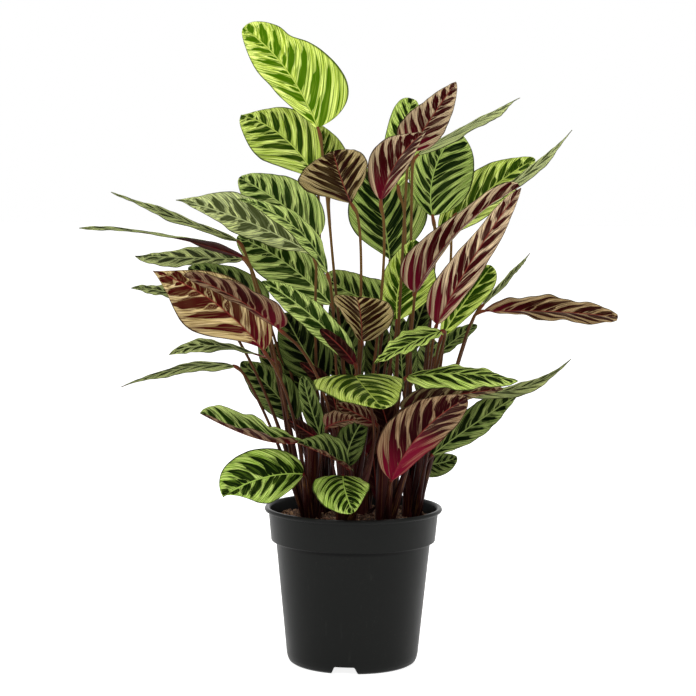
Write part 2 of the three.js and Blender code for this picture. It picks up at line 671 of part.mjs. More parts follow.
// ---- Shoots: a crown in the soil with the stems of its leaves ----
function stemGeometry(leaf, [x, y], gap) {
  const { at: base, along } = bladeFrame(leaf, 0);
  const neck = base.clone().addScaledVector(along, -STEM_NECK);
  const end = base.clone().addScaledVector(along, -gap);
  const way = new THREE.Vector3(neck.x - x, neck.y - y, 0).normalize();
  const foot = new THREE.Vector3(x, y, STEM_FOOT_HEIGHT).addScaledVector(way, STEM_CIRCLE);
  const middle = leaf.stem
    ? place(leaf.stem)
    : new THREE.Vector3(
        foot.x + (neck.x - foot.x) * STEM_LEAN,
        foot.y + (neck.y - foot.y) * STEM_LEAN,
        (foot.z + neck.z) / 2,
      );
  const path = [];
  for (let i = 0; i <= STEM_RINGS; i++) path.push(arc(foot, middle, neck, i / STEM_RINGS));
  path.push(end);
  let across = new THREE.Vector3(1, 0, 0);
  const rings = path.map((point, i) => {
    const before = path[Math.max(i - 1, 0)];
    const after = path[Math.min(i + 1, path.length - 1)];
    const along2 = after.clone().sub(before).normalize();
    across = across.clone().addScaledVector(along2, -across.dot(along2)).normalize();
    const beside = new THREE.Vector3().crossVectors(along2, across);
    const share = i / (path.length - 1);
    const radius = STEM_FOOT_RADIUS + (STEM_TOP_RADIUS - STEM_FOOT_RADIUS) * Math.min(share * STEM_TAPER, 1);
    return Array.from({ length: STEM_SIDES }, (_, k) => {
      const a = (k / STEM_SIDES) * 2 * Math.PI;
      return point
        .clone()
        .addScaledVector(across, radius * Math.cos(a))
        .addScaledVector(beside, radius * Math.sin(a));
    });
  });
  return loft(rings);
}

function shootSolid(name, { at: [x, y], sheathTop }) {
  const sheath = [[14, 178], [11, 0.5 * (178 + sheathTop)], [7, sheathTop - 4], [0, sheathTop]];
  let shoot = toSolid(turned(crownProfile(0, sheath), 10).translate(x, y, 0));
  for (const leaf of LEAVES) {
    if (leaf.shoot === name) shoot = shoot.add(toSolid(stemGeometry(leaf, [x, y], GAP)));
  }
  for (const leaf of INNER_LEAVES) {
    if (leaf.shoot !== name) continue;
    shoot = shoot.add(toSolid(stemGeometry(leaf, [x, y], -INNER_LAP))).add(toSolid(bladeGeometry(leaf)));
  }
  return shoot;
}

// ---- Assembly ----
const plastic = new THREE.MeshStandardMaterial({ color: 0x2a2a29, roughness: 0.55, metalness: 0 });
const earth = new THREE.MeshStandardMaterial({ color: 0x2e2019, roughness: 0.95, metalness: 0 });
const stemRed = new THREE.MeshStandardMaterial({ color: 0x5d2a1c, roughness: 0.6, metalness: 0 });
const leafGreen = new THREE.MeshStandardMaterial({ color: 0x6f9a36, roughness: 0.45, metalness: 0 });

const plant = new THREE.Group();
function addPiece(name, geometry, material) {
  const mesh = new THREE.Mesh(geometry, material);
  mesh.name = name;
  plant.add(mesh);
}

addPiece("nursery_pot", toGeometry(potSolid()), plastic);
addPiece("potting_soil", toGeometry(soilSolid()), earth);
for (const [name, shoot] of Object.entries(SHOOTS)) {
  addPiece(name, toGeometry(shootSolid(name, shoot)), stemRed);
}
for (const leaf of LEAVES) addPiece(leaf.name, bladeGeometry(leaf), leafGreen);

export default plant;
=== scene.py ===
"""A potted calathea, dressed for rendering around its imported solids.

Metres, +Z up, front towards -Y. The pot, the potting mix, six shoots with their stems and 68 leaf blades
are each built again in fine detail where their solids stand, and replace them.
"""

import logging
import math
from dataclasses import dataclass
from enum import Enum

import bpy
import numpy as np
from mathutils import Matrix


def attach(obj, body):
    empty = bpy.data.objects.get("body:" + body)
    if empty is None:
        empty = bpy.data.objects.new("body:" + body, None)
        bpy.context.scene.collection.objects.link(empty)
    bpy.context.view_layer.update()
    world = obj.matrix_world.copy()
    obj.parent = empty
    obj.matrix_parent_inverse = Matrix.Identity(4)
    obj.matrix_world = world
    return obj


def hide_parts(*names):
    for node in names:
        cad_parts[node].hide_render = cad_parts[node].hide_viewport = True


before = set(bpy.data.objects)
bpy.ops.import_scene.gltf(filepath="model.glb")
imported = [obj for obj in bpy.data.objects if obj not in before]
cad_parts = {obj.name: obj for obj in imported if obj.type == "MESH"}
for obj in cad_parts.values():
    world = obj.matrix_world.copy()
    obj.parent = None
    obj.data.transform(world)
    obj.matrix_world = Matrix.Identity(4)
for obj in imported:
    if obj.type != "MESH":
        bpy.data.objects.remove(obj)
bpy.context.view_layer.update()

log = logging.getLogger("calathea")

Array = np.ndarray
Triple = tuple[float, float, float]
Colour = tuple[float, float, float, float]

MM = 0.001


# ---------------------------------------------------------------- arithmetic on whole arrays


def unit(vectors: Array) -> Array:
    """Each vector of the last axis divided by its length."""
    return vectors / np.linalg.norm(vectors, axis=-1, keepdims=True)


def ease(t: Array) -> Array:
    """The smooth step 3t^2 - 2t^3, with t held between 0 and 1."""
    t = np.clip(t, 0.0, 1.0)
    return t * t * (3.0 - 2.0 * t)


def swell(t: Array, middle: float, spread: float) -> Array:
    """A bell, e to the minus square of (t - middle) / spread."""
    return np.exp(-(((t - middle) / spread) ** 2))


def arc(a: Array, m: Array, b: Array, t: Array) -> Array:
    """Points of the parabola that passes a at 0, m at 1/2 and b at 1.

    The weights of a, m and b are (1 - t)(1 - 2t), 4t(1 - t) and t(2t - 1).
    """
    t = t[:, None]
    return a * (1 - t) * (1 - 2 * t) + m * 4 * t * (1 - t) + b * t * (2 * t - 1)


def arc_heading(a: Array, m: Array, b: Array, t: Array) -> Array:
    """Unit directions of travel along that parabola, from its derivative by t."""
    t = t[:, None]
    return unit(a * (4 * t - 3) + m * (4 - 8 * t) + b * (4 * t - 1))


def lumps(x: Array, y: Array, size: float, seed: int, count: int = 24) -> Array:
    """A smooth random field over x and y with a mean of 0 and a spread of about 1.

    It is the sum of `count` sine waves in random directions, each with a random phase and a wavelength
    between 0.7 and 1.8 times `size`.

    Args:
        x, y: places, of any one shape.
        size: the typical width of a lump, in the unit of x and y.
        seed: which field.
        count: how many waves.

    Returns:
        The field's value at each place.
    """
    rng = np.random.default_rng(seed)
    heading = rng.uniform(0, 2 * math.pi, count)
    rate = 2 * math.pi / (size * rng.uniform(0.7, 1.8, count))
    phase = rng.uniform(0, 2 * math.pi, count)
    waves = x[..., None] * (rate * np.cos(heading)) + y[..., None] * (rate * np.sin(heading)) + phase
    return np.sin(waves).sum(-1) * math.sqrt(2.0 / count)


def tint(code: str) -> Colour:
    """A screen colour made linear, by the two-part curve that screens follow.

    Args:
        code: red, green and blue as six hexadecimal digits.

    Returns:
        Linear red, green and blue, and a full alpha.
    """
    screen = [int(code[i : i + 2], 16) / 255 for i in (0, 2, 4)]
    red, green, blue = (c / 12.92 if c <= 0.04045 else ((c + 0.055) / 1.055) ** 2.4 for c in screen)
    return (red, green, blue, 1.0)


# ---------------------------------------------------------------- closed meshes from grids


@dataclass
class Skin:
    """A closed mesh in the making: points in metres, groups of faces, and values given to each point.

    Attributes:
        points: places, (n, 3).
        faces: arrays of corner numbers, one array for each number of corners.
        values: named vectors or colours, (n, 3) or (n, 4), which the finishes read.
    """

    points: Array
    faces: list[Array]
    values: dict[str, Array]

    @staticmethod
    def cells(rows: int, columns: int, wrap: bool = False) -> Array:
        """Four-cornered faces of a grid numbered row by row.

        A face's normal is the way along the columns crossed with the way along the rows.

        Args:
            rows, columns: how many points each way.
            wrap: whether the last column joins the first.

        Returns:
            Corner numbers, (faces, 4).
        """
        r = np.arange(rows - 1)[:, None] * columns
        c = np.arange(columns if wrap else columns - 1)[None, :]
        after = (c + 1) % columns
        quads = np.stack([r + c, r + after, r + columns + after, r + columns + c], axis=-1)
        return quads.reshape(-1, 4)

    @classmethod
    def slab(cls, top: Array, bottom: Array) -> "Skin":
        """A thin closed sheet between two grids of points, whose tops face away from their bottoms.

        Args:
            top, bottom: grids, (rows, columns, 3), with the same boundary order.

        Returns:
            The sheet, with the top's points first.
        """
        rows, columns = top.shape[:2]
        number = np.arange(rows * columns).reshape(rows, columns)
        upper = cls.cells(rows, columns)
        lower = upper[:, ::-1] + rows * columns
        rim = np.concatenate([number[0, :-1], number[:-1, -1], number[-1, :0:-1], number[:0:-1, 0]])
        ahead = np.roll(rim, -1)
        under = rows * columns
        band = np.stack([rim, rim + under, ahead + under, ahead], axis=-1)
        points = np.concatenate([top.reshape(-1, 3), bottom.reshape(-1, 3)])
        return cls(points, [np.concatenate([upper, lower, band])], {})

    @classmethod
    def tube(cls, rings: Array, start: Array, end: Array) -> "Skin":
        """A closed skin over rings of points, each running round the way from start to end.

        Args:
            rings: (rings, points, 3).
            start, end: the poles that close it.

        Returns:
            The skin, with the rings' points first and then the two poles.
        """
        count, around = rings.shape[:2]
        number = np.arange(around)
        ahead = (number + 1) % around
        first, last = count * around, count * around + 1
        final = (count - 1) * around
        caps = [
            np.stack([np.full(around, first), ahead, number], axis=-1),
            np.stack([np.full(around, last), number + final, ahead + final], axis=-1),
        ]
        points = np.concatenate([rings.reshape(-1, 3), [start], [end]])
        return cls(points, [cls.cells(count, around, wrap=True), np.concatenate(caps)], {})

    @classmethod
    def turned(cls, profile: Array, steps: int) -> "Skin":
        """A solid of revolution about Z.

        A point at radius r and height z goes to (r cos a, r sin a, z), with a running once round.

        Args:
            profile: (n, 2) radii and heights, anticlockwise as seen with the axis on the left, which
                start and end on the axis.
            steps: how many facets round.

        Returns:
            The skin.
        """
        angle = np.arange(steps) * (2 * math.pi / steps)
        inner = profile[1:-1]
        rings = np.stack(
            [
                inner[:, :1] * np.cos(angle),
                inner[:, :1] * np.sin(angle),
                np.repeat(inner[:, 1:], steps, axis=1),
            ],
            axis=-1,
        )
        start = np.array([0, 0, profile[0, 1]])
        end = np.array([0, 0, profile[-1, 1]])
        return cls.tube(rings, start, end)

    @classmethod
    def joined(cls, skins: list["Skin"]) -> "Skin":
        """Several skins as one mesh.

        Args:
            skins: the skins, which hold values of the same names.

        Returns:
            One skin with all their points, in the same order.
        """
        starts = np.cumsum([0] + [len(s.points) for s in skins[:-1]])
        faces = [group + start for s, start in zip(skins, starts) for group in s.faces]
        names = skins[0].values
        values = {n: np.concatenate([s.values[n] for s in skins]) for n in names}
        return cls(np.concatenate([s.points for s in skins]), faces, values)

    def constant(self, name: str, value: tuple[float, ...]) -> None:
        """Gives every point the same value."""
        self.values[name] = np.tile(np.array(value, float), (len(self.points), 1))

    def object(self, name: str, crease: float = 50.0) -> bpy.types.Object:
        """Makes the Blender object, shaded smooth apart from its creases.

        Args:
            name: the object's name.
            crease: the least angle, in degrees, at which two faces meet in a sharp edge.

        Returns:
            The object, linked to the scene.
        """
        corners = np.concatenate([g.ravel() for g in self.faces])
        sizes = np.concatenate([np.full(len(g), g.shape[1]) for g in self.faces])
        mesh = bpy.data.meshes.new(name)
        mesh.vertices.add(len(self.points))
        mesh.vertices.foreach_set("co", self.points.astype(np.float32).ravel())
        mesh.loops.add(len(corners))
        mesh.loops.foreach_set("vertex_index", corners.astype(np.int32))
        mesh.polygons.add(len(sizes))
        starts = np.concatenate([[0], np.cumsum(sizes)[:-1]])
        mesh.polygons.foreach_set("loop_start", starts.astype(np.int32))
        mesh.update(calc_edges=True)
        mesh.shade_smooth()
        mesh.set_sharp_from_angle(angle=math.radians(crease))
        for label, value in self.values.items():
            kind, key = ("FLOAT_COLOR", "color") if value.shape[1] == 4 else ("FLOAT_VECTOR", "vector")
            layer = mesh.attributes.new(label, kind, "POINT")
            layer.data.foreach_set(key, value.astype(np.float32).ravel())
        made = bpy.data.objects.new(name, mesh)
        bpy.context.scene.collection.objects.link(made)
        return made


def hand_over(piece: bpy.types.Object, material: bpy.types.Material, slot: str, *nodes: str) -> None:
    """Dresses a piece, sets it on the model and lets it stand for its solids.

    Args:
        piece: the finished object.
        material: its finish.
        slot: the record's material slot; not used.
        nodes: the solids that it replaces.
    """
    piece.data.materials.append(material)
    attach(piece, "root")
    if nodes:
        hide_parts(*nodes)
    log.info("%s: %d faces", piece.name, len(piece.data.polygons))


# ---------------------------------------------------------------- shader arithmetic


class Wire:
    """A node's output that can be reckoned with: each operator adds a Math node."""

    def __init__(self, bench: "Bench", socket: bpy.types.NodeSocket) -> None:
        """Holds the output and the bench that its next node goes on."""
        self.bench = bench
        self.socket = socket

    def math(self, operation: str, *others: "Wire | float", clamp: bool = False) -> "Wire":
        """A Math node of this value and the others.

        Args:
            operation: what the node does.
            others: its second and third inputs.
            clamp: whether the result is held between 0 and 1.

        Returns:
            The result.
        """
        settings = {"operation": operation, "use_clamp": clamp}
        inputs = dict(enumerate((self, *others)))
        return self.bench.out("ShaderNodeMath", settings, inputs)

    def __add__(self, other: "Wire | float") -> "Wire":
        """self + other."""
        return self.math("ADD", other)

    __radd__ = __add__

    def __sub__(self, other: "Wire | float") -> "Wire":
        """self - other."""
        return self.math("SUBTRACT", other)

    def __rsub__(self, other: float) -> "Wire":
        """other - self."""
        return (self * -1.0) + other

    def __mul__(self, other: "Wire | float") -> "Wire":
        """self * other."""
        return self.math("MULTIPLY", other)

    __rmul__ = __mul__

    def __truediv__(self, other: "Wire | float") -> "Wire":
        """self / other."""
        return self.math("DIVIDE", other)

    def __pow__(self, other: "Wire | float") -> "Wire":
        """self to the power of other."""
        return self.math("POWER", other)

    def __abs__(self) -> "Wire":
        """The value without its sign."""
        return self.math("ABSOLUTE")

    def fract(self) -> "Wire":
        """What is left over the next lower whole number."""
        return self.math("FRACT")

    def floor(self) -> "Wire":
        """The next lower whole number."""
        return self.math("FLOOR")

    def held(self) -> "Wire":
        """The value held between 0 and 1."""
        return self.math("ADD", 0.0, clamp=True)

    def most(self, other: "Wire | float") -> "Wire":
        """The larger of the two."""
        return self.math("MAXIMUM", other)

    def step(self, low: float, high: float) -> "Wire":
        """A smooth step from 0 to 1 between two values.

        Args:
            low: where the step gives 0.
            high: where it gives 1. It may be the smaller of the two, and the step then falls.

        Returns:
            The step's value.
        """
        falls = float(high < low)
        span = {"From Min": min(low, high), "From Max": max(low, high)}
        ends = {"To Min": falls, "To Max": 1.0 - falls}
        settings = {"interpolation_type": "SMOOTHSTEP"}
        return self.bench.out("ShaderNodeMapRange", settings, {"Value": self, **span, **ends})


class Bench:
    """The node tree of a material or a world, with one method that makes any node."""

    def __init__(self, owner: bpy.types.Material | bpy.types.World, shader: str) -> None:
        """Turns on the owner's nodes and finds its shader.

        Args:
            owner: the material or the world.
            shader: the name of the shader's node.
        """
        owner.use_nodes = True
        self.owner = owner
        self.tree = owner.node_tree
        self.shader = self.tree.nodes[shader]

    @classmethod
    def finish(cls, name: str) -> "Bench":
        """The bench of a new material of that name."""
        return cls(bpy.data.materials.new(name), "Principled BSDF")

    def node(self, kind: str, settings: dict, inputs: dict) -> bpy.types.Node:
        """Makes a node.

        Args:
            kind: the node's type.
            settings: its properties, set first. "stops" holds a ramp's places and colours.
            inputs: values, or wires, by the name or the number of their socket.

        Returns:
            The node.
        """
        made = self.tree.nodes.new(kind)
        for key, value in settings.items():
            if key == "stops":
                ramp = made.color_ramp.elements
                while len(ramp) < len(value):
                    ramp.new(1.0)
                for element, (place, colour) in zip(ramp, value):
                    element.position = place
                    element.color = colour
            else:
                setattr(made, key, value)
        for key, value in inputs.items():
            self.feed(made.inputs[key], value)
        return made

    def feed(self, socket: bpy.types.NodeSocket, value: "Wire | float | tuple") -> None:
        """Links a wire to a socket, or sets the socket's own value.

        Args:
            socket: the input.
            value: the wire or the constant.
        """
        if isinstance(value, Wire):
            self.tree.links.new(value.socket, socket)
        else:
            socket.default_value = value

    def out(self, kind: str, settings: dict, inputs: dict, output: int | str = 0) -> Wire:
        """Makes a node and returns one of its outputs."""
        return Wire(self, self.node(kind, settings, inputs).outputs[output])

    def stored(self, name: str, output: str = "Vector") -> Wire:
        """A value that the piece's points hold."""
        return self.out("ShaderNodeAttribute", {"attribute_name": name}, {}, output)

    def parts(self, vector: Wire) -> tuple[Wire, Wire, Wire]:
        """A vector's three numbers."""
        node = self.node("ShaderNodeSeparateXYZ", {}, {0: vector})
        return tuple(Wire(self, socket) for socket in node.outputs)

    def vector(self, x: "Wire | float", y: "Wire | float", z: "Wire | float") -> Wire:
        """Three numbers as a vector."""
        return self.out("ShaderNodeCombineXYZ", {}, {0: x, 1: y, 2: z})

    def place(self) -> Wire:
        """The piece's own coordinates, in metres."""
        return self.out("ShaderNodeTexCoord", {}, {}, "Object")

    def noise(self, at: Wire, scale: float, detail: float = 2.0, rough: float = 0.5) -> Wire:
        """Smooth noise of about 0.2 to 0.8."""
        inputs = {"Vector": at, "Scale": scale, "Detail": detail, "Roughness": rough}
        return self.out("ShaderNodeTexNoise", {"noise_dimensions": "3D"}, inputs)

    def chance(self, at: Wire) -> Wire:
        """A random number from 0 to 1 for each whole-number place."""
        return self.out("ShaderNodeTexWhiteNoise", {"noise_dimensions": "3D"}, {"Vector": at})

    def blend(self, share: "Wire | float", a: "Wire | Colour", b: "Wire | Colour") -> Wire:
        """Colour a with that share of colour b."""
        return self.out("ShaderNodeMix", {"data_type": "RGBA"}, {0: share, 6: a, 7: b}, 2)

    def times(self, colour: Wire, by: Wire) -> Wire:
        """A colour multiplied by a number."""
        return self.out("ShaderNodeVectorMath", {"operation": "SCALE"}, {0: colour, "Scale": by})

    def brightness(self, colour: Wire) -> Wire:
        """The colour's weighted sum of 0.25 red, 0.6 green and 0.15 blue."""
        inputs = {0: colour, 1: (0.25, 0.6, 0.15)}
        return self.out("ShaderNodeVectorMath", {"operation": "DOT_PRODUCT"}, inputs, "Value")

    def bump(self, height: Wire, distance: float, strength: float = 1.0) -> None:
        """Feeds the shader's normal with relief of that height, in metres."""
        inputs = {"Height": height, "Distance": distance, "Strength": strength}
        self.feed(self.shader.inputs["Normal"], self.out("ShaderNodeBump", {}, inputs))

    def dress(self, **inputs: "Wire | float | Colour") -> bpy.types.Material | bpy.types.World:
        """Feeds the shader's inputs.

        Args:
            inputs: wires or constants by the name of their input, with _ for a space.

        Returns:
            The finished material or world.
        """
        for key, value in inputs.items():
            self.feed(self.shader.inputs[key.replace("_", " ")], value)
        return self.owner


# ---------------------------------------------------------------- finishes


@dataclass(frozen=True)
class LeafFinish:
    """The feather pattern of a blade's two faces.

    Points hold "vein" (place in the row of veins, place across, seed), "face" (distance from the midrib in
    millimetres, place along, 1 above and -1 below), "trait" (how much of the row the ovals fill, how much
    red runs out from the base, gloss) and the colours "ground" and "mark".

    Attributes:
        long_reach, short_reach: how far out the long and the short ovals go, with the margin at 1.
        long_width, short_width: their half-widths, as shares of what they fill of the row.
        underside_reach: how much further out the long ovals go on the underside.
        reach_luck, width_luck: how much longer and wider the luckiest oval is than the least lucky.
        wander: how far noise moves an oval along the row.
        thread_rate: how many fine threads lie on one unit of the row.
        hair_rate: how many times finer the hairs are than the threads.
        fray: how far the threads fray the outline of an oval.
        soft_edge: where an oval's outline starts and ends, in units of the row.
        halo, halo_share: how far outside an oval its dark halo lies, and how dark it is.
        glare, paleness: how bright the light on the field is against the ground, and its share of it.
        upper_light, lower_light: the light that the pale parts of each face throw back.
        upper_rib, lower_rib: the colour that each face's midrib leans to.
        rib_edge, rib_shadow: where the midrib and its shadow start and are full, in millimetres.
        margin: the colour that the margin leans to.
        margin_edge: where the margin starts and is full, as shares of the half.
        blush: the red that runs out from the base of an underside.
        blush_edge: where that red starts and is full along the blade.
    """

    long_reach: float = 0.82
    short_reach: float = 0.3
    long_width: float = 0.58
    short_width: float = 0.25
    underside_reach: float = 0.16
    reach_luck: float = 0.18
    width_luck: float = 0.4
    wander: float = 0.45
    thread_rate: float = 9.0
    hair_rate: float = 2.6
    fray: float = 0.16
    soft_edge: tuple[float, float] = (-0.015, 0.025)
    halo: float = 0.1
    halo_share: float = 0.45
    glare: float = 2.6
    paleness: float = 0.6
    upper_light: Colour = tint("F2FC9C")
    lower_light: Colour = tint("FFE4B4")
    upper_rib: Colour = tint("D6E28C")
    lower_rib: Colour = tint("A8483C")
    rib_edge: tuple[float, float] = (0.95, 0.35)
    rib_shadow: tuple[float, float] = (2.2, 1.0)
    margin: Colour = tint("0A0D05")
    margin_edge: tuple[float, float] = (0.94, 0.98)
    blush: Colour = tint("6E0C26")
    blush_edge: tuple[float, float] = (0.4, 0.0)

    def ovals(
        self, b: Bench, row: Wire, across: Wire, key: Wire, reach: float, width: Wire
    ) -> tuple[Wire, Wire]:
        """One tapering oval in each unit of the row.

        With r the place across as a share of its reach, its half-width is
        width * (1 - r^2) * (0.5 + 0.5 * the smooth step of r / 0.4).

        Args:
            b: the material's bench.
            row: the place in the row, one unit for each oval.
            across: the place from the midrib, 0, to the margin, 1.
            key: a number for each half of each leaf.
            reach: how far across an oval goes.
            width: its half-width, as a share of the unit.

        Returns:
            How far inside an oval a point is, and the oval's random number.
        """
        luck = b.chance(b.vector(row.floor(), key, reach))
        r = (across / (luck * self.reach_luck + (reach - 0.1))).held()
        half = (1.0 - r**2.0) * (r.step(0.0, 0.4) * 0.5 + 0.5) * width * (luck * self.width_luck + 0.8)
        return half - abs(row.fract() - 0.5), luck

    def material(self) -> bpy.types.Material:
        """The finish of every blade.

        The ovals take the mark's colour and the field between them the ground's, with fine threads of each
        drawn through both. The margin, the midrib and the red at the base are laid over them.

        Returns:
            The material.
        """
        b = Bench.finish("patterned_leaf")
        row, across, seed = b.parts(b.stored("vein"))
        away, along, face = b.parts(b.stored("face"))
        fill, glow, gloss = b.parts(b.stored("trait"))
        ground, mark = b.stored("ground", "Color"), b.stored("mark", "Color")
        side = across.math("GREATER_THAN", 0.0)
        below = face.math("LESS_THAN", 0.0)
        x = abs(across)
        key = seed + side * 7.0

        # Noise along the veins: broad clouds, fine threads and finer hairs, each from its own key.
        cloud = b.noise(b.vector(row * 0.4, x * 1.5, key + 9.0), 1.0, 1.0)
        threads = b.noise(b.vector(row * self.thread_rate, x * 1.3, key), 1.0, 2.0, 0.6)
        hair = b.noise(b.vector(row * self.thread_rate * self.hair_rate, x * 2.0, key + 5.0), 1.0, 1.0)
        drift = b.noise(b.vector(row * 1.3, x * 2.5, key * 3.7), 1.0, 1.0) - 0.5

        # Long ovals, and short ones half a unit on, where luck lets them grow.
        crooked = row + drift * self.wander + side * 0.5 + seed * 0.13
        ragged = (threads - 0.5) * self.fray
        inward = x / (1.0 + below * self.underside_reach)
        deep, _ = self.ovals(b, crooked, inward, key, self.long_reach, fill * self.long_width)
        inside, luck = self.ovals(b, crooked + 0.5, x, key + 3.0, self.short_reach, fill * self.short_width)
        short = (inside + ragged * 0.5).step(*self.soft_edge) * luck.step(0.4, 0.5)
        oval = (deep + ragged).step(*self.soft_edge).most(short)

        # The field: the ground's colour, paler where it catches the light, darker in threads and by ovals.
        light = b.blend(below, self.upper_light, self.lower_light)
        pale = b.blend(self.paleness, ground, b.times(light, b.brightness(ground) * self.glare))
        field = b.blend(hair.step(0.53, 0.43) * 0.8 + cloud.step(0.46, 0.7) * 0.35, ground, pale)
        dark_thread = (threads.step(0.52, 0.58) * 0.8).most(hair.step(0.54, 0.6) * 0.6)
        halo = (deep + ragged + self.halo).step(-0.05, 0.08) * self.halo_share
        field = b.blend(dark_thread.most(halo), field, mark)
        painted = b.blend(threads.step(0.46, 0.36) * 0.14 + cloud.step(0.5, 0.8) * 0.06, mark, ground)
        colour = b.blend(oval, field, painted)

        # The margin, and the midrib with a shadow on either side.
        colour = b.blend(x.step(*self.margin_edge) * 0.9, colour, b.blend(0.7, mark, self.margin))
        upper_rib, lower_rib = b.blend(0.25, ground, self.upper_rib), b.blend(0.4, mark, self.lower_rib)
        colour = b.blend(away.step(*self.rib_shadow) * 0.35, colour, mark)
        rib = away.step(*self.rib_edge) * along.step(1.0, 0.8)
        colour = b.blend(rib * 0.85, colour, b.blend(below, upper_rib, lower_rib))

        # Red runs out from the base, and over the whole left half where there is most of it.
        near_base = along.step(*self.blush_edge) * (0.35 + oval * 0.65)
        left_half = (1.0 - side) * glow.step(0.9, 1.0) * along.step(0.6, 0.3)
        colour = b.blend(below * glow * near_base.most(left_half) * 0.75, colour, self.blush)

        b.bump(threads * 0.4 + hair * 0.3 + oval * 0.35, 0.0006, 0.5)
        rough = 0.55 - gloss * 0.25 + (threads - 0.5) * 0.3
        return b.dress(Base_Color=colour, Roughness=rough, IOR=1.4, Specular_IOR_Level=0.02)


@dataclass(frozen=True)
class StemFinish:
    """The ribbed skin of stems and sheaths.

    Points hold "grow" (height above the soil over 0.3 m, place along the stem, seed) and "skin" (turn round
    the stem in radians, redness, 0).

    Attributes:
        foot, low, high, top: the colours up the plant, dark low down: partly the stems' own colour and
            partly painted shade inside the plant.
        dark_rib, light_rib: the colours of the fine ribs.
        joint: the red of the swollen joint behind a blade.
    """

    foot: Colour = tint("200809")
    low: Colour = tint("32100C")
    high: Colour = tint("4E2E12")
    top: Colour = tint("6A4E26")
    dark_rib: Colour = tint("220C08")
    light_rib: Colour = tint("8A6232")
    joint: Colour = tint("7A2420")

    def material(self) -> bpy.types.Material:
        """The finish of every stem: a ramp of colours up the plant, ribbed along the stem.

        Returns:
            The material.
        """
        b = Bench.finish("ribbed_stem")
        rise, _, seed = b.parts(b.stored("grow"))
        turn, red, _ = b.parts(b.stored("skin"))
        uneven = b.noise(b.vector(turn * 1.2, rise * 6.0, seed * 5.1), 1.0, 2.0)
        # The ramp is darker low down: partly the stems' own red-brown, partly painted shade inside the
        # plant.
        ramp = {"stops": [(0.0, self.foot), (0.3, self.low), (0.75, self.high), (1.0, self.top)]}
        colour = b.out("ShaderNodeValToRGB", ramp, {0: rise + (uneven - 0.5) * 0.5})
        rib = b.noise(b.vector(turn * 3.0, rise * 9.0, seed), 1.0, 3.0, 0.6)
        colour = b.blend(rib.step(0.5, 0.66) * 0.6, colour, self.dark_rib)
        colour = b.blend(rib.step(0.46, 0.34) * 0.35, colour, self.light_rib)
        colour = b.blend(red, colour, self.joint)
        b.bump(rib, 0.0004, 0.5)
        rough = 0.45 + (uneven - 0.5) * 0.3
        return b.dress(Base_Color=colour, Roughness=rough, Specular_IOR_Level=0.1)


@dataclass(frozen=True)
class PlasticFinish:
    """Moulded satin black plastic with faint scuffs and a trace of dust.

    Attributes:
        colour, cloudy, scuffed, dusty, shaded: the plastic's colour, and what it leans to in clouds, on
            scuffs, under dust and beneath the ledge.
        ledge: heights in metres, from below: the shade of the ledge begins, is full, starts to end, ends.
        lip: heights in metres between which the gleam of the lip comes up.
    """

    colour: Colour = tint("131413")
    cloudy: Colour = tint("161716")
    scuffed: Colour = tint("3A3A37")
    dusty: Colour = tint("4C473E")
    shaded: Colour = tint("040404")
    ledge: tuple[float, ...] = (0.1405, 0.1435, 0.146, 0.1468)
    lip: tuple[float, float] = (0.1845, 0.1856)

    def material(self) -> bpy.types.Material:
        """The finish of the pot.

        Returns:
            The material.
        """
        b = Bench.finish("satin_black_plastic")
        at = b.place()
        x, y, z = b.parts(at)
        cloud = b.noise(at, 14.0, 3.0)
        scuff = b.noise(b.vector(x * 3.0, y * 3.0, z * 0.6), 60.0, 3.0, 0.65)
        dust = b.noise(at, 900.0, 1.0).step(0.66, 0.8) * cloud.step(0.4, 0.7)
        colour = b.blend(cloud.step(0.3, 0.75) * 0.35, self.colour, self.cloudy)
        colour = b.blend(scuff.step(0.6, 0.78) * 0.15, colour, self.scuffed)
        colour = b.blend(dust * 0.3, colour, self.dusty)
        begins, full, fades, ends = self.ledge
        shade = z.step(begins, full) * z.step(ends, fades)
        colour = b.blend(shade * 0.85, colour, self.shaded)
        b.bump(b.noise(at, 1400.0, 1.0), 0.0001, 0.35)
        rough = 0.4 + (cloud - 0.5) * 0.2 + scuff.step(0.55, 0.8) * 0.12
        gleam = z.step(*self.lip) * 0.5
        coat = {"Coat_Weight": gleam, "Coat_Roughness": 0.2}
        return b.dress(Base_Color=colour, Roughness=rough, IOR=1.45, Specular_IOR_Level=0.1, **coat)


@dataclass(frozen=True)
class PeatFinish:
    """Dark crumbly peat, and the lighter bark in it. Points hold "chip" (lightness, redness, 0).

    Attributes:
        dark, warm: the peat's colours.
        bark, rust: what light and reddish chips lean to.
    """

    dark: Colour = tint("24160D")
    warm: Colour = tint("5E4029")
    bark: Colour = tint("C8A07A")
    rust: Colour = tint("5C2A1A")

    def material(self) -> bpy.types.Material:
        """The finish of the potting mix and its crumbs.

        Returns:
            The material.
        """
        b = Bench.finish("peat_and_bark")
        at = b.place()
        light, red, _ = b.parts(b.stored("chip"))
        coarse = b.noise(at, 190.0, 3.0, 0.6)
        fine = b.noise(at, 800.0, 2.0)
        colour = b.blend(coarse.step(0.35, 0.65), self.dark, self.warm)
        colour = b.blend((light + (fine - 0.52) * 1.5).held(), colour, self.bark)
        colour = b.blend(red * 0.6, colour, self.rust)
        b.bump(coarse * 0.6 + fine * 0.4, 0.0012, 0.8)
        return b.dress(Base_Color=colour, Roughness=0.82 + (fine - 0.5) * 0.3)


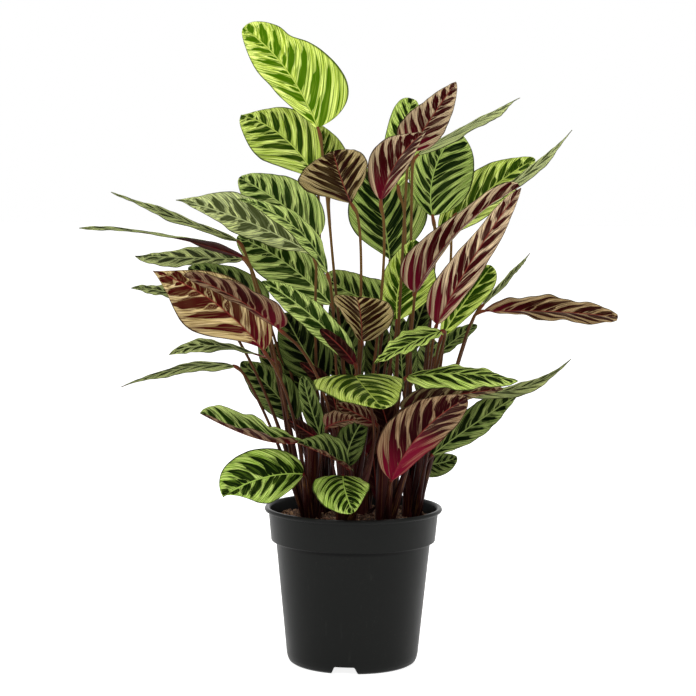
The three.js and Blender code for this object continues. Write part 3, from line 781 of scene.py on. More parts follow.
@dataclass(frozen=True)
class PaperFinish:
    """The matt white sweep that the pot stands on.

    Attributes:
        colour, fibre: the paper's two whites.
        lift: how strongly it glows of itself, so that it stays white to its far edge.
    """

    colour: Colour = tint("F7F7F5")
    fibre: Colour = tint("FCFCFB")
    lift: float = 0.85

    def material(self) -> bpy.types.Material:
        """The finish of the floor.

        Returns:
            The material.
        """
        b = Bench.finish("white_sweep")
        fibres = b.noise(b.place(), 240.0, 2.0)
        b.bump(fibres, 0.0001, 0.2)
        glow = {"Emission_Color": tint("FFFFFF"), "Emission_Strength": self.lift}
        return b.dress(Base_Color=b.blend(fibres, self.colour, self.fibre), Roughness=0.85, **glow)


# ---------------------------------------------------------------- the front elevation


@dataclass(frozen=True)
class Elevation:
    """The front elevation on which the leaves are placed: a perspective drawn from the eye.

    A place is (across, down, depth): sheet units across and down, and millimetres behind the pot's axis.

    Attributes:
        eye: where the eye is, in millimetres.
        centre: the sheet unit, across and down, that the eye looks at.
        scale: sheet units per unit of slope.
        look_down, turn: how far the look is tilted down and the sheet turned about it, in radians.
    """

    eye: Triple = (-7.9, -2600.0, 607.0)
    centre: float = 348.0
    scale: float = 2220.0
    look_down: float = math.radians(5.13)
    turn: float = math.radians(0.46)

    def place(self, at: Triple) -> Array:
        """The point of a place: the eye's ray through the sheet, followed to that depth.

        Args:
            at: the place.

        Returns:
            The point, in millimetres.
        """
        across, down, depth = at
        a, d = across - self.centre, down - self.centre
        right = a * math.cos(self.turn) + d * math.sin(self.turn)
        below = d * math.cos(self.turn) - a * math.sin(self.turn)
        ray = np.array(
            [
                right,
                self.scale * math.cos(self.look_down) - below * math.sin(self.look_down),
                -self.scale * math.sin(self.look_down) - below * math.cos(self.look_down),
            ]
        )
        return np.array(self.eye) + ray * ((depth - self.eye[1]) / ray[1])

    def direction(self, vector: Triple, depth: float) -> Array:
        """A vector drawn on the sheet at a place of that depth, in millimetres."""
        size = (depth - self.eye[1]) / self.scale
        return np.array([vector[0] * size, vector[2], -vector[1] * size])


SHEET = Elevation()


# ---------------------------------------------------------------- leaves


@dataclass(frozen=True)
class Tone:
    """The two colours of one face of a blade, and how much red runs out from its base."""

    ground: Colour
    mark: Colour
    flush: float = 0.0


class Upper(Enum):
    """The upper faces that the plant shows. Some are lighter or darker copies of one green: painted light
    on a backlit blade, and painted shade on blades at the back and inside the plant.
    """

    BACKLIT = Tone(tint("C4DA48"), tint("456E02"))
    FRESH = Tone(tint("B2CC46"), tint("213A03"))
    LIME = Tone(tint("ACCE52"), tint("102002"))
    VIVID = Tone(tint("90B83C"), tint("0C1A02"))
    COOL = Tone(tint("A2BE60"), tint("182C06"))
    # Partly the blade's own deep green, partly painted shade for blades at the back of the plant.
    DEEP = Tone(tint("92B24E"), tint("0C1B04"))
    # Painted shade, for blades inside the plant.
    SHADED = Tone(tint("6A823E"), tint("081203"))
    # The darkest painted shade, for blades deep inside the plant.
    DUSK = Tone(tint("4C6028"), tint("040802"))
    MUTED = Tone(tint("9CA86E"), tint("262C10"))
    PALE = Tone(tint("B4BE88"), tint("444C28"))


class Lower(Enum):
    """The undersides that the plant shows. The darkest is partly its own maroon and partly painted shade,
    for undersides inside the plant.
    """

    BURGUNDY = Tone(tint("947A50"), tint("240302"), 0.5)
    ROSE = Tone(tint("B69E80"), tint("300406"), 0.8)
    CREAM = Tone(tint("B09A60"), tint("3A0606"), 0.4)
    OLIVE = Tone(tint("9E8C54"), tint("1C0301"), 0.1)
    BROWN = Tone(tint("76683E"), tint("280806"), 0.3)
    # A dark maroon copy of the burgundy underside: partly its own colour, partly painted shade inside the
    # plant.
    MAROON = Tone(tint("3A1A12"), tint("1C0606"), 0.4)
    WINE = Tone(tint("785A42"), tint("260404"), 0.5)
    MAGENTA = Tone(tint("886A4C"), tint("240306"), 1.0)


class Shoot(Enum):
    """The six shoots: where each crown stands, in millimetres, and how high its sheaths wrap it."""

    LEFT_FRONT = (-50, -14, 236)
    LEFT_BACK = (-34, 32, 226)
    CENTRE_FRONT = (-8, -40, 222)
    CENTRE_BACK = (10, 18, 240)
    RIGHT_FRONT = (38, -28, 262)
    RIGHT_BACK = (69, 10, 218)

    @property
    def node(self) -> str:
        """The name of the shoot's solid."""
        return f"shoot_{self.name.lower()}"


@dataclass(frozen=True)
class LeafBlade:
    """One leaf: its blade, and the way that its stem takes.

    Attributes:
        number: its number in the catalogue, which names it.
        shoot: the shoot that it grows from.
        base, mid, tip: places of the midrib on the front elevation.
        side: the direction on the elevation from the midrib to the right margin, as seen from the base
            with the upper face up.
        left, right: the widths of the two halves at 1/5, 1/2 and 4/5 of the length, in millimetres.
        fold: how far the left and the right half are lifted, in degrees.
        twist: how far the tip is turned against the base, in degrees.
        stem: a place that the stem passes half way. Without one it takes its own way there.
        upper, lower: the tones of the two faces.
        periods: how many long ovals lie along each half.
        fill: how much of the row the ovals take.
        slant: how far the veins lean to the tip, in millimetres for each that they run out.
        ruffle, waves: height in millimetres and number of the margin's waves.
        ends: how pointed the base and the tip are, where 0.5 is round.
        bays: changes of the outline, (half, place along, millimetres, spread along), half -1 or 1.
        hook: how far the tip bends down, in millimetres.
        inner: whether the blade is one solid with its shoot.
    """

    number: str
    shoot: Shoot
    base: Triple
    mid: Triple
    tip: Triple
    side: Triple
    left: Triple
    right: Triple
    fold: tuple[float, float] = (5, 5)
    twist: float = 0.0
    stem: Triple | None = None
    upper: Upper = Upper.FRESH
    lower: Lower = Lower.BURGUNDY
    periods: float = 6.5
    fill: float = 0.54
    slant: float = 1.0
    ruffle: float = 1.2
    waves: float = 3.0
    ends: tuple[float, float] = (0.5, 0.5)
    bays: tuple[tuple[float, float, float, float], ...] = ()
    hook: float = 0.0
    inner: bool = False

    # Points along the blade, and across each half.
    ROWS = 72
    HALF_COLUMNS = 13
    # The outer widths are stated this far from the middle, as a share of the length.
    STATION = 0.3
    # How even the rows are, where 0 crowds them to both ends, and how the columns crowd to the midrib.
    EVENNESS = 0.35
    CROWDING = 1.35
    # Height of the arch, as a share of the half's width.
    ARCH = 0.28
    # The margin's second wave: its height as a share of the first one's, and how many times finer it is.
    RIPPLE = 0.35
    RIPPLE_RATE = 2.3
    # Where the tip starts to bend down, and over how much of the length it does.
    TIP_START = 0.7
    TIP_SPAN = 0.3
    # How much more the veins lean at the margin, how much thinner the sheet is there, and how much lower
    # the midrib is at the tip, as shares.
    VEIN_CURVE = 0.35
    MARGIN_THINNING = 0.45
    RIB_TAPER = 0.8
    # Millimetres: the sheet, its pleats, the midrib below it, and the least half-width at either end.
    THICKNESS = 0.75
    PLEAT = 0.4
    RIB_HEIGHT = 0.9
    RIB_WIDTH = 1.3
    BASE_NECK = 1.4
    TIP_NECK = 0.5

    @property
    def seed(self) -> int:
        """The number that its random choices start from."""
        return int(self.number)

    def midrib(self) -> tuple[Array, Array, Array]:
        """The base, middle and tip of the midrib, in millimetres."""
        return SHEET.place(self.base), SHEET.place(self.mid), SHEET.place(self.tip)

    def axes(self, t: Array) -> tuple[Array, Array, Array, Array]:
        """The midrib's points at the places t, and there the ways along, to the right and up.

        Right is the stated side made square to the way along and then turned about it by the twist
        times (t - 0.4). Up is right crossed with along.

        Args:
            t: places along, from 0 at the base to 1 at the tip.

        Returns:
            The points in millimetres, and three arrays of unit vectors.
        """
        base, mid, tip = self.midrib()
        along = arc_heading(base, mid, tip, t)
        side = SHEET.direction(self.side, self.mid[2])
        right = unit(side - along * (along @ side)[:, None])
        angle = -math.radians(self.twist) * (t - 0.4)[:, None]
        right = right * np.cos(angle) + np.cross(along, right) * np.sin(angle)
        up = np.cross(right, along)
        return arc(base, mid, tip, t), along, right, up

    def half_width(self, t: Array, half: int) -> Array:
        """The width of one half along the blade, in millimetres.

        A parabola through the three stated widths, each over the outline's own height there, times the
        outline (4t(1 - t)) ^ end, plus the bays.

        Args:
            t: places along.
            half: -1 for the left and 1 for the right.

        Returns:
            The width at each place, and at least that of the neck.
        """
        near, middle, far = self.left if half < 0 else self.right
        end = np.where(t < 0.5, self.ends[0], self.ends[1])
        outline = 1 - (2 * self.STATION) ** 2
        near, far = near / outline ** self.ends[0], far / outline ** self.ends[1]
        u = (t - 0.5) / self.STATION
        bow = middle + (far - near) / 2 * u + ((near + far) / 2 - middle) * u * u
        width = bow * (4 * t * (1 - t)) ** end
        for which, at, amount, spread in self.bays:
            if which == half:
                width = width + amount * swell(t, at, spread)
        return np.maximum(width, np.where(t < 0.5, self.BASE_NECK, self.TIP_NECK))

    def length(self) -> float:
        """The midrib's length in millimetres, measured along 50 points of it."""
        steps = np.diff(arc(*self.midrib(), np.linspace(0, 1, 50)), axis=0)
        return np.linalg.norm(steps, axis=1).sum()

    def relief(self, t: Array, x: Array, h: Array, row: Array) -> Array:
        """How high the blade stands over its folded halves, in millimetres.

        It is an arch of 0.28 h |x| (1 - |x|), plus a ruffle, two sines along the margin times x^2 that die
        out to the base and the tip, plus a pleat, a sine with one wave to each oval that dies out to the
        midrib, less the fall of the tip.

        Args:
            t: places along, (rows, 1).
            x: places across from -1 to 1, (1, columns).
            h: the half's width, (rows, columns).
            row: the place in the row of veins, (rows, columns).

        Returns:
            The height, (rows, columns).
        """
        phase = np.random.default_rng(self.seed).uniform(0, 2 * math.pi, 4)
        size = np.abs(x)
        start = np.where(x < 0, phase[0], phase[1])
        crest = np.sin(2 * math.pi * self.waves * t + start)
        finer = np.sin(2 * math.pi * self.waves * self.RIPPLE_RATE * t + 2 * start + phase[2])
        crest = crest + self.RIPPLE * finer
        ruffle = self.ruffle * crest * size**2 * np.sin(math.pi * t) ** 0.5
        arch = self.ARCH * h * size * (1 - size)
        pleat = self.PLEAT * np.sin(2 * math.pi * row + phase[3]) * (1 - 0.4 * size)
        pleat = pleat * np.minimum(1.0, 4 * size) * np.minimum(1.0, h * size / 6.0)
        fall = self.hook * ease((t - self.TIP_START) / self.TIP_SPAN)
        return arch + ruffle + pleat - fall

    def grids(self) -> tuple[Array, Array, dict[str, Array]]:
        """The upper and the lower face, and the values of their points.

        With x across from -1 to 1 and w the distance from the midrib, a point of the middle layer is the
        midrib + right * w cos(fold) + up * (w sin(fold) + relief). The row of veins is
        (s - w * slant * (1 + 0.35 x^2)) / spacing, with s the way along. The faces stand half the thickness
        off it, thinner to the margin, and the lower one further along the midrib, by a bell across.

        Returns:
            Two grids, (rows, columns, 3) in metres, and named grids of values, (rows, columns).
        """
        v = np.linspace(0.0, 1.0, self.ROWS)
        t = self.EVENNESS * v + (1 - self.EVENNESS) * (1 - np.cos(math.pi * v)) / 2
        at, _, right, up = (part[:, None, :] for part in self.axes(t))
        u = np.linspace(0.0, 1.0, self.HALF_COLUMNS + 1) ** self.CROWDING
        x = np.concatenate([-u[:0:-1], u])[None, :]
        left_width, right_width = (self.half_width(t, half)[:, None] for half in (-1, 1))
        h = np.where(x < 0, left_width, right_width)
        t = t[:, None]
        size = np.abs(x)
        w = h * size
        length = self.length()
        row = (t * length - w * self.slant * (1 + self.VEIN_CURVE * size**2)) * (self.periods / length)
        fold = np.radians(np.where(x < 0, *self.fold))
        lift = w * np.sin(fold) + self.relief(t, x, h, row)
        middle = at + right * (np.sign(x) * w * np.cos(fold))[..., None] + up * lift[..., None]
        half = 0.5 * self.THICKNESS * (1 - self.MARGIN_THINNING * size**2)
        rib = self.RIB_HEIGHT * (1 - self.RIB_TAPER * t) * swell(w, 0.0, self.RIB_WIDTH)
        top = middle + up * half[..., None]
        bottom = middle - up * (half + rib)[..., None]
        across, along = (np.broadcast_to(part, row.shape) for part in (x, t))
        return top * MM, bottom * MM, {"row": row, "across": across, "away": w, "along": along}

    def skin(self) -> Skin:
        """The blade as a closed sheet with the values that its finish reads.

        Returns:
            The skin.
        """
        top, bottom, values = self.grids()
        made = Skin.slab(top, bottom)
        count = top[..., 0].size
        flat = {name: np.tile(value.ravel(), 2) for name, value in values.items()}
        seed = np.full(2 * count, float(self.seed))
        face = np.repeat([1.0, -1.0], count)
        made.values["vein"] = np.stack([flat["row"], flat["across"], seed], axis=-1)
        made.values["face"] = np.stack([flat["away"], flat["along"], face], axis=-1)
        gloss = np.random.default_rng(self.seed + 400).uniform(0.3, 0.7)
        made.constant("trait", (self.fill, self.lower.value.flush, gloss))
        above, below = self.upper.value, self.lower.value
        made.values["ground"] = np.repeat([above.ground, below.ground], count, axis=0)
        made.values["mark"] = np.repeat([above.mark, below.mark], count, axis=0)
        return made

    def build(self, finish: bpy.types.Material) -> None:
        """Makes the blade and sets it in place of its solid.

        Args:
            finish: the finish of every blade.
        """
        piece = self.skin().object(f"blade_{self.number}")
        hand_over(piece, finish, "leaf_blade", self.shoot.node if self.inner else f"leaf_{self.number}")


BLADES: tuple[LeafBlade, ...] = (
    LeafBlade("01", Shoot.CENTRE_BACK, (318, 128, 60), (285, 68, 78), (243, 28, 90), side=(54, -40, 6),
              left=(19, 31, 23), right=(55, 45, 27), fold=(14, 4), stem=(331, 240, 40), upper=Upper.BACKLIT,
              periods=6.4, bays=((1, 0.66, -5.0, 0.08), (-1, 0.45, -2.0, 0.1))),
    LeafBlade("02", Shoot.LEFT_BACK, (316, 178, 85), (283, 137, 110), (241, 115, 130), side=(40, -47, 14),
              left=(23, 39, 30), right=(29, 38, 18), fold=(6, 6), ends=(0.5, 0.38)),
    LeafBlade("03", Shoot.CENTRE_BACK, (330, 190, 118), (324, 158, 136), (311, 124, 152), side=(40, -10, 0),
              left=(19, 19, 14), right=(27, 29, 19), stem=(333, 262, 90)),
    LeafBlade("04", Shoot.LEFT_BACK, (318, 237, 50), (280, 203, 80), (239, 178, 105), side=(34, -47, 26),
              left=(22, 34, 24), right=(31, 35, 21), fold=(6, 6), upper=Upper.COOL),
    LeafBlade("05", Shoot.CENTRE_FRONT, (351, 203, -70), (341, 178, -122), (333, 151, -165),
              side=(-72, 18, 0), left=(16, 32, 29), right=(27, 48, 31), fold=(8, 8), stem=(361, 290, -62),
              lower=Lower.OLIVE, periods=6.4, fill=0.86),
    LeafBlade("06", Shoot.CENTRE_FRONT, (381, 200, -60), (398, 160, -95), (426, 131, -118),
              side=(-46, -30, -10), left=(20, 25, 14), right=(25, 29, 12), fold=(50, 15),
              stem=(381, 300, -52), lower=Lower.ROSE, periods=6.0, fill=1.0, slant=1.2),
    LeafBlade("07", Shoot.RIGHT_FRONT, (411, 150, -10), (431, 118, -36), (456, 82, -60),
              side=(-38, -24, -16), left=(23, 23, 14), right=(27, 22, 11), fold=(10, 10),
              stem=(402, 262, -18), lower=Lower.ROSE, fill=0.72, ends=(0.5, 0.7)),
    LeafBlade("08", Shoot.CENTRE_BACK, (390, 261, 96), (384, 222, 104), (372, 166, 112), side=(46, -5, 0),
              left=(17, 40, 34), right=(29, 54, 40), upper=Upper.DEEP, periods=7.5, fill=0.74),
    LeafBlade("09", Shoot.RIGHT_BACK, (418, 155, 18), (470, 125, 25), (521, 101, 40), side=(2, 7, -54),
              left=(20, 24, 12), right=(20, 24, 12), fold=(-6, -10), stem=(411, 250, 22), upper=Upper.PALE,
              lower=Lower.ROSE, slant=2.0, ruffle=1.5, waves=2, ends=(0.5, 0.9), hook=-4),
    LeafBlade("10", Shoot.CENTRE_BACK, (398, 186, 75), (402, 140, 100), (413, 99, 125), side=(42, 6, 0),
              left=(20, 21, 19), right=(20, 24, 17), fold=(6, 6), stem=(402, 290, 66), upper=Upper.LIME,
              ends=(0.5, 0.4)),
    LeafBlade("11", Shoot.RIGHT_BACK, (432.5, 216, 55), (434, 172, 80), (457, 130, 100), side=(60, 16, 0),
              left=(21, 29, 14), right=(42, 48, 40), fold=(6, 6), stem=(432, 300, 40), upper=Upper.DEEP,
              periods=7.5, fill=0.64),
    LeafBlade("12", Shoot.RIGHT_BACK, (441, 234, 88), (489, 190, 125), (535, 159, 160), side=(34, 44, -20),
              left=(25, 30, 18), right=(20, 25, 15), fill=0.7, slant=1.6, ends=(0.5, 0.42)),
    LeafBlade("13", Shoot.RIGHT_FRONT, (415.5, 293, -50), (456, 233, -88), (520, 186, -98),
              side=(-26, -26, -14), left=(20, 20, 14), right=(30, 18, 14), fold=(62, 8),
              stem=(411, 335, -42), lower=Lower.ROSE, fill=0.76, slant=2.2, ends=(0.6, 0.5)),
    LeafBlade("14", Shoot.RIGHT_BACK, (456, 214, -10), (519, 180, -6), (572, 130, 4), side=(2, 11, -44),
              left=(16, 20, 10), right=(16, 20, 10), fold=(-4, -4), stem=(445, 330, 6), upper=Upper.PALE,
              slant=2.0, waves=2, ends=(0.5, 0.9)),
    LeafBlade("15", Shoot.RIGHT_BACK, (437, 324, -90), (475, 255, -132), (521, 188, -150),
              side=(-45, -28, -10), left=(14, 18, 12), right=(25, 17, 10), fold=(8, 8),
              stem=(426, 400, -30), lower=Lower.ROSE, fill=0.68, slant=2.2, ruffle=2.0, ends=(0.6, 0.8)),
    LeafBlade("16", Shoot.RIGHT_BACK, (442, 336, -22), (466, 300, -16), (492, 266, -6), side=(30, 24, -10),
              left=(12, 17, 14), right=(10, 17, 18), fold=(6, 6), fill=0.78, slant=1.6),
    LeafBlade("17", Shoot.RIGHT_BACK, (483, 305, 62), (508, 280, 80), (530, 253, 95), side=(1, 5, -40),
              left=(12, 15, 8), right=(12, 15, 8), fold=(6, 6), stem=(458, 365, 50), upper=Upper.MUTED,
              fill=0.46, slant=2.0, ruffle=0.8, waves=2, ends=(0.5, 0.8)),
    LeafBlade("18", Shoot.RIGHT_BACK, (484, 311, -34), (548, 311, -54), (618, 317, -70), side=(0, -30, -40),
              left=(9, 21, 22), right=(18, 24, 17), fold=(8, 8), stem=(456, 367, -24), fill=0.7, slant=1.8,
              ruffle=2.4, ends=(0.6, 0.3)),
    LeafBlade("19", Shoot.RIGHT_BACK, (436, 357, 24), (455, 340, 30), (477, 325, 42), side=(9, 14, -20),
              left=(12, 15, 10), right=(8, 11, 8), fold=(8, 8), upper=Upper.SHADED),
    LeafBlade("20", Shoot.RIGHT_FRONT, (441, 331, -118), (410, 344, -135), (374, 364, -150),
              side=(-6, -14, 30), left=(12, 15, 9), right=(18, 22, 12), fold=(6, 6), stem=(430, 390, -74),
              upper=Upper.LIME, fill=0.7, slant=1.6, ruffle=2.0, waves=4, ends=(0.5, 0.8)),
    LeafBlade("21", Shoot.CENTRE_BACK, (397, 320, 2), (400, 282, 4), (416, 240, 10), side=(54, 12, 0),
              left=(17, 22, 15), right=(29, 43, 33), fold=(6, 6), fill=0.76),
    LeafBlade("22", Shoot.CENTRE_BACK, (390, 308, 66), (358, 297, 92), (324, 276, 118), side=(22, -46, 20),
              left=(22, 24, 18), right=(30, 28, 22), upper=Upper.DEEP, fill=0.6),
    LeafBlade("23", Shoot.CENTRE_FRONT, (362, 341, -100), (361, 318, -145), (357, 297, -180),
              side=(-62, -16, 0), left=(24, 36, 35), right=(13, 24, 31), fold=(8, 8), stem=(356, 420, -56),
              lower=Lower.OLIVE, periods=8.0, fill=0.76),
    LeafBlade("24", Shoot.CENTRE_FRONT, (355, 376, -112), (367, 391, -170), (383, 409, -228),
              side=(-92, -3, 0), left=(48, 41, 26), right=(50, 57, 37), fold=(4, 4), stem=(374, 440, -98),
              fill=0.7, slant=1.4),
    LeafBlade("25", Shoot.RIGHT_FRONT, (407, 377, -120), (460, 374, -150), (518, 381, -165),
              side=(2, 20, -46), left=(20, 28, 16), right=(20, 28, 20), fold=(-15, -5), upper=Upper.LIME,
              fill=0.6, slant=1.4, ruffle=2.0, ends=(0.5, 0.65)),
    LeafBlade("26", Shoot.RIGHT_FRONT, (391.5, 480, -88), (421, 433, -132), (467, 398, -150),
              side=(-46, -42, -14), left=(20, 32, 28), right=(32, 35, 21), fold=(28, 10),
              lower=Lower.MAGENTA, fill=0.86, slant=1.3, ruffle=2.0),
    LeafBlade("27", Shoot.RIGHT_FRONT, (402, 410, -84), (444, 397, -98), (503, 389, -104),
              side=(-4, -26, -34), left=(16, 18, 12), right=(20, 22, 14), fold=(6, 6), lower=Lower.BROWN,
              fill=0.64),
    LeafBlade("28", Shoot.RIGHT_BACK, (432, 455, -24), (480, 420, -34), (528, 389, -40), side=(21, 31, -14),
              left=(18, 20, 17), right=(12, 16, 5), fold=(-6, -6), upper=Upper.SHADED, slant=1.4,
              ruffle=2.5, waves=6),
    LeafBlade("29", Shoot.RIGHT_BACK, (446, 386, -52), (513, 390, -66), (571, 359, -62), side=(2, 9, -35),
              left=(14, 17, 9), right=(14, 17, 9), fold=(-6, -6), stem=(430, 440, -36), upper=Upper.MUTED,
              fill=0.46, slant=2.0, waves=2, ends=(0.5, 0.9)),
    LeafBlade("30", Shoot.RIGHT_BACK, (413, 461, 36), (434, 464, 34), (457, 457, 28), side=(-2, 30, -4),
              left=(12, 14, 10), right=(13, 16, 12), fold=(4, 4), upper=Upper.SHADED),
    LeafBlade("31", Shoot.LEFT_FRONT, (303, 474, -62), (262, 478, -112), (223, 497, -138),
              side=(14, -50, 20), left=(24, 30, 12), right=(25, 34, 30), fold=(-4, 4), upper=Upper.VIVID,
              fill=0.78, ends=(0.5, 0.6)),
    LeafBlade("32", Shoot.CENTRE_FRONT, (343, 476, -96), (345, 491, -128), (353, 513, -146),
              side=(-60, -4, 0), left=(26, 28, 17), right=(30, 36, 24), fold=(2, 2), upper=Upper.VIVID,
              fill=0.66),
    LeafBlade("33", Shoot.LEFT_FRONT, (303, 441, -78), (260, 439, -106), (200, 413, -122), side=(0, -6, 50),
              left=(13, 20, 11), right=(16, 26, 26), fold=(38, 38), upper=Upper.COOL, lower=Lower.WINE,
              slant=1.4, ruffle=2.0),
    LeafBlade("35", Shoot.LEFT_FRONT, (234, 366, -50), (184, 368, -72), (121, 387, -92), side=(-2, -9, 41),
              left=(14, 16, 7), right=(14, 16, 7), fold=(-5, -5), stem=(271, 428, -40), upper=Upper.MUTED,
              fill=0.46, slant=2.0, waves=2, ends=(0.5, 0.9)),
    LeafBlade("36", Shoot.LEFT_FRONT, (276, 361, -34), (213, 346, -30), (169, 355, -26), side=(0, -10, 38),
              left=(10, 13, 7), right=(10, 13, 7), fold=(2, 2), twist=90, stem=(286, 428, -28),
              upper=Upper.MUTED, lower=Lower.WINE, slant=1.6, ruffle=1.5, ends=(0.3, 0.5)),
    LeafBlade("37", Shoot.LEFT_FRONT, (263.6, 351, -100), (214, 302, -116), (153, 271, -108),
              side=(-41, 56, 0), left=(34, 34, 14), right=(19, 42, 25), fold=(8, 8), stem=(294, 420, -74),
              lower=Lower.CREAM, periods=6.0, fill=0.68, ends=(0.45, 0.9)),
    LeafBlade("38", Shoot.CENTRE_FRONT, (279, 329, -128), (235, 297, -158), (184, 275, -168),
              side=(-12, 22, 44), left=(29, 26, 17), right=(12, 18, 16), fold=(10, 10),
              stem=(326, 400, -92), lower=Lower.WINE, fill=0.66),
    LeafBlade("39", Shoot.LEFT_FRONT, (212, 306, 2), (170, 293, 0), (131, 288, -4), side=(2, -12, 26),
              left=(10, 12, 8), right=(10, 12, 8), fold=(4, 4), stem=(268, 400, -12), upper=Upper.MUTED,
              ends=(0.5, 0.8)),
    LeafBlade("40", Shoot.LEFT_BACK, (243, 259, 62), (192, 258, 66), (135, 256, 60), side=(0, -16, 30),
              left=(12, 18, 20), right=(20, 20, 8), fold=(4, 4), upper=Upper.MUTED, ends=(0.5, 0.8)),
    LeafBlade("41", Shoot.LEFT_BACK, (268, 302, 22), (228, 281, 34), (188, 268, 42), side=(14, -32, 20),
              left=(16, 18, 12), right=(18, 19, 12), stem=(296, 395, 34), upper=Upper.SHADED),
    LeafBlade("42", Shoot.LEFT_FRONT, (243, 257, -62), (165, 236, -84), (79, 228, -108), side=(0, 6, 50),
              left=(18, 20, 11), right=(18, 20, 11), fold=(2, 2), twist=44, stem=(276, 360, -40),
              upper=Upper.MUTED, lower=Lower.MAROON, fill=0.46, slant=2.0, ruffle=1.5, waves=2,
              ends=(0.6, 0.9)),
    LeafBlade("43", Shoot.LEFT_FRONT, (238, 241, -14), (176, 218, -16), (111, 192, -26), side=(2, -8, 40),
              left=(14, 17, 10), right=(14, 17, 10), fold=(0, 0), upper=Upper.MUTED, lower=Lower.MAROON,
              fill=0.46, slant=2.0, ruffle=1.5, waves=2, ends=(0.6, 0.8)),
    LeafBlade("44", Shoot.LEFT_BACK, (312, 254, -18), (245, 221, -30), (176, 200, -52), side=(13, -36, 34),
              left=(15, 22, 9), right=(20, 34, 17), fold=(4, 4), stem=(316, 360, -4), upper=Upper.PALE,
              fill=0.6, ruffle=2.0, ends=(0.6, 0.6)),
    LeafBlade("45", Shoot.CENTRE_FRONT, (327, 273, -62), (294, 227, -100), (237, 199, -112),
              side=(14, -15, 42), left=(16, 22, 12), right=(17, 21, 12), fold=(8, 8), stem=(335, 345, -45),
              upper=Upper.COOL, fill=0.6),
    LeafBlade("46", Shoot.LEFT_BACK, (331, 304, 20), (284, 262, 26), (237, 237, 36), side=(22, -30, 20),
              left=(22, 32, 24), right=(22, 26, 18), fold=(4, 4), stem=(328, 380, 34), upper=Upper.COOL,
              fill=0.6),
    LeafBlade("47", Shoot.CENTRE_FRONT, (354, 360, -84), (309, 314, -86), (262, 281, -86),
              side=(18, -22, 18), left=(15, 17, 12), right=(15, 17, 12), fold=(4, 4), stem=(350, 430, -54),
              upper=Upper.COOL, lower=Lower.WINE, fill=0.78, ends=(0.5, 0.8)),
    LeafBlade("48", Shoot.LEFT_BACK, (325, 382, 8), (304, 350, 12), (284, 313, 18), side=(46, -26, 20),
              left=(22, 30, 20), right=(24, 30, 20), upper=Upper.DUSK, fill=0.84),
    LeafBlade("50", Shoot.LEFT_FRONT, (296, 420, 0), (272, 390, 12), (241, 362, 22), side=(24, -24, 20),
              left=(20, 24, 16), right=(22, 26, 16), upper=Upper.SHADED, fill=0.66),
    LeafBlade("52", Shoot.CENTRE_FRONT, (327, 427, -88), (341, 421, -112), (358, 420, -130),
              side=(-4, -16, -20), left=(8, 10, 6), right=(14, 16, 10), fold=(8, 8), lower=Lower.WINE),
    LeafBlade("54", Shoot.CENTRE_FRONT, (348, 468, -82), (326, 455, -118), (297, 443, -138),
              side=(6, -6, 40), left=(20, 20, 10), right=(22, 26, 14), fold=(34, 34), upper=Upper.SHADED,
              lower=Lower.WINE),
    LeafBlade("55", Shoot.CENTRE_FRONT, (346, 466, -62), (351, 442, -68), (365, 418, -72), side=(42, 10, 0),
              left=(15, 18, 14), right=(14, 16, 12), upper=Upper.DUSK, fill=0.66),
    LeafBlade("58", Shoot.RIGHT_BACK, (424, 398, 60), (427, 366, 92), (431, 338, 125), side=(44, 6, 0),
              left=(14, 16, 12), right=(16, 18, 14), stem=(424, 445, 12), upper=Upper.SHADED),
    LeafBlade("34", Shoot.CENTRE_BACK, (341, 380, 70), (333, 352, 84), (322, 326, 92), side=(36, -10, 0),
              left=(13, 16, 12), right=(13, 16, 12), inner=True, upper=Upper.DUSK, fill=0.7),
    LeafBlade("49", Shoot.CENTRE_BACK, (379, 392, 72), (378, 358, 84), (380, 322, 92), side=(40, 2, 0),
              left=(15, 18, 14), right=(15, 18, 14), inner=True, upper=Upper.DUSK, fill=0.7),
    LeafBlade("51", Shoot.LEFT_FRONT, (322, 440, -30), (311, 408, -36), (303, 376, -38), side=(40, -10, 0),
              left=(9, 11, 9), right=(10, 12, 9), inner=True, upper=Upper.SHADED, fill=0.6, slant=1.6),
    LeafBlade("53", Shoot.RIGHT_BACK, (408, 354, 30), (417, 324, 34), (427, 297, 36), side=(40, 12, 0),
              left=(11, 13, 11), right=(11, 13, 11), inner=True, upper=Upper.DUSK, fill=0.7),
    LeafBlade("56", Shoot.LEFT_BACK, (338, 392, -20), (318, 376, -22), (300, 362, -24), side=(-20, 26, 14),
              left=(7, 9, 6), right=(7, 9, 6), inner=True, lower=Lower.MAROON, fill=0.7),
    LeafBlade("57", Shoot.CENTRE_FRONT, (376, 424, -84), (358, 414, -90), (336, 404, -92),
              side=(-10, 26, 14), left=(10, 12, 8), right=(10, 12, 8), inner=True, lower=Lower.WINE,
              fill=0.7),
    LeafBlade("59", Shoot.RIGHT_FRONT, (392, 458, -64), (388, 428, -70), (380, 402, -72), side=(-40, 4, 0),
              left=(14, 17, 14), right=(14, 17, 14), inner=True, lower=Lower.MAROON, fill=0.7),
    LeafBlade("60", Shoot.LEFT_BACK, (318, 404, 40), (296, 374, 48), (276, 342, 54), side=(34, -24, 10),
              left=(12, 15, 12), right=(12, 15, 12), inner=True, upper=Upper.DUSK, fill=0.7),
    LeafBlade("61", Shoot.LEFT_FRONT, (318, 438, -52), (303, 429, -58), (288, 419, -62), side=(-12, 24, 10),
              left=(6, 8, 6), right=(6, 8, 6), inner=True, lower=Lower.MAROON, fill=0.7),
    LeafBlade("62", Shoot.CENTRE_FRONT, (355, 364, -104), (340, 346, -108), (320, 329, -108),
              side=(-20, 20, 8), left=(7, 8, 6), right=(8, 9, 7), stem=(352, 432, -52), inner=True,
              lower=Lower.MAROON, fill=0.8),
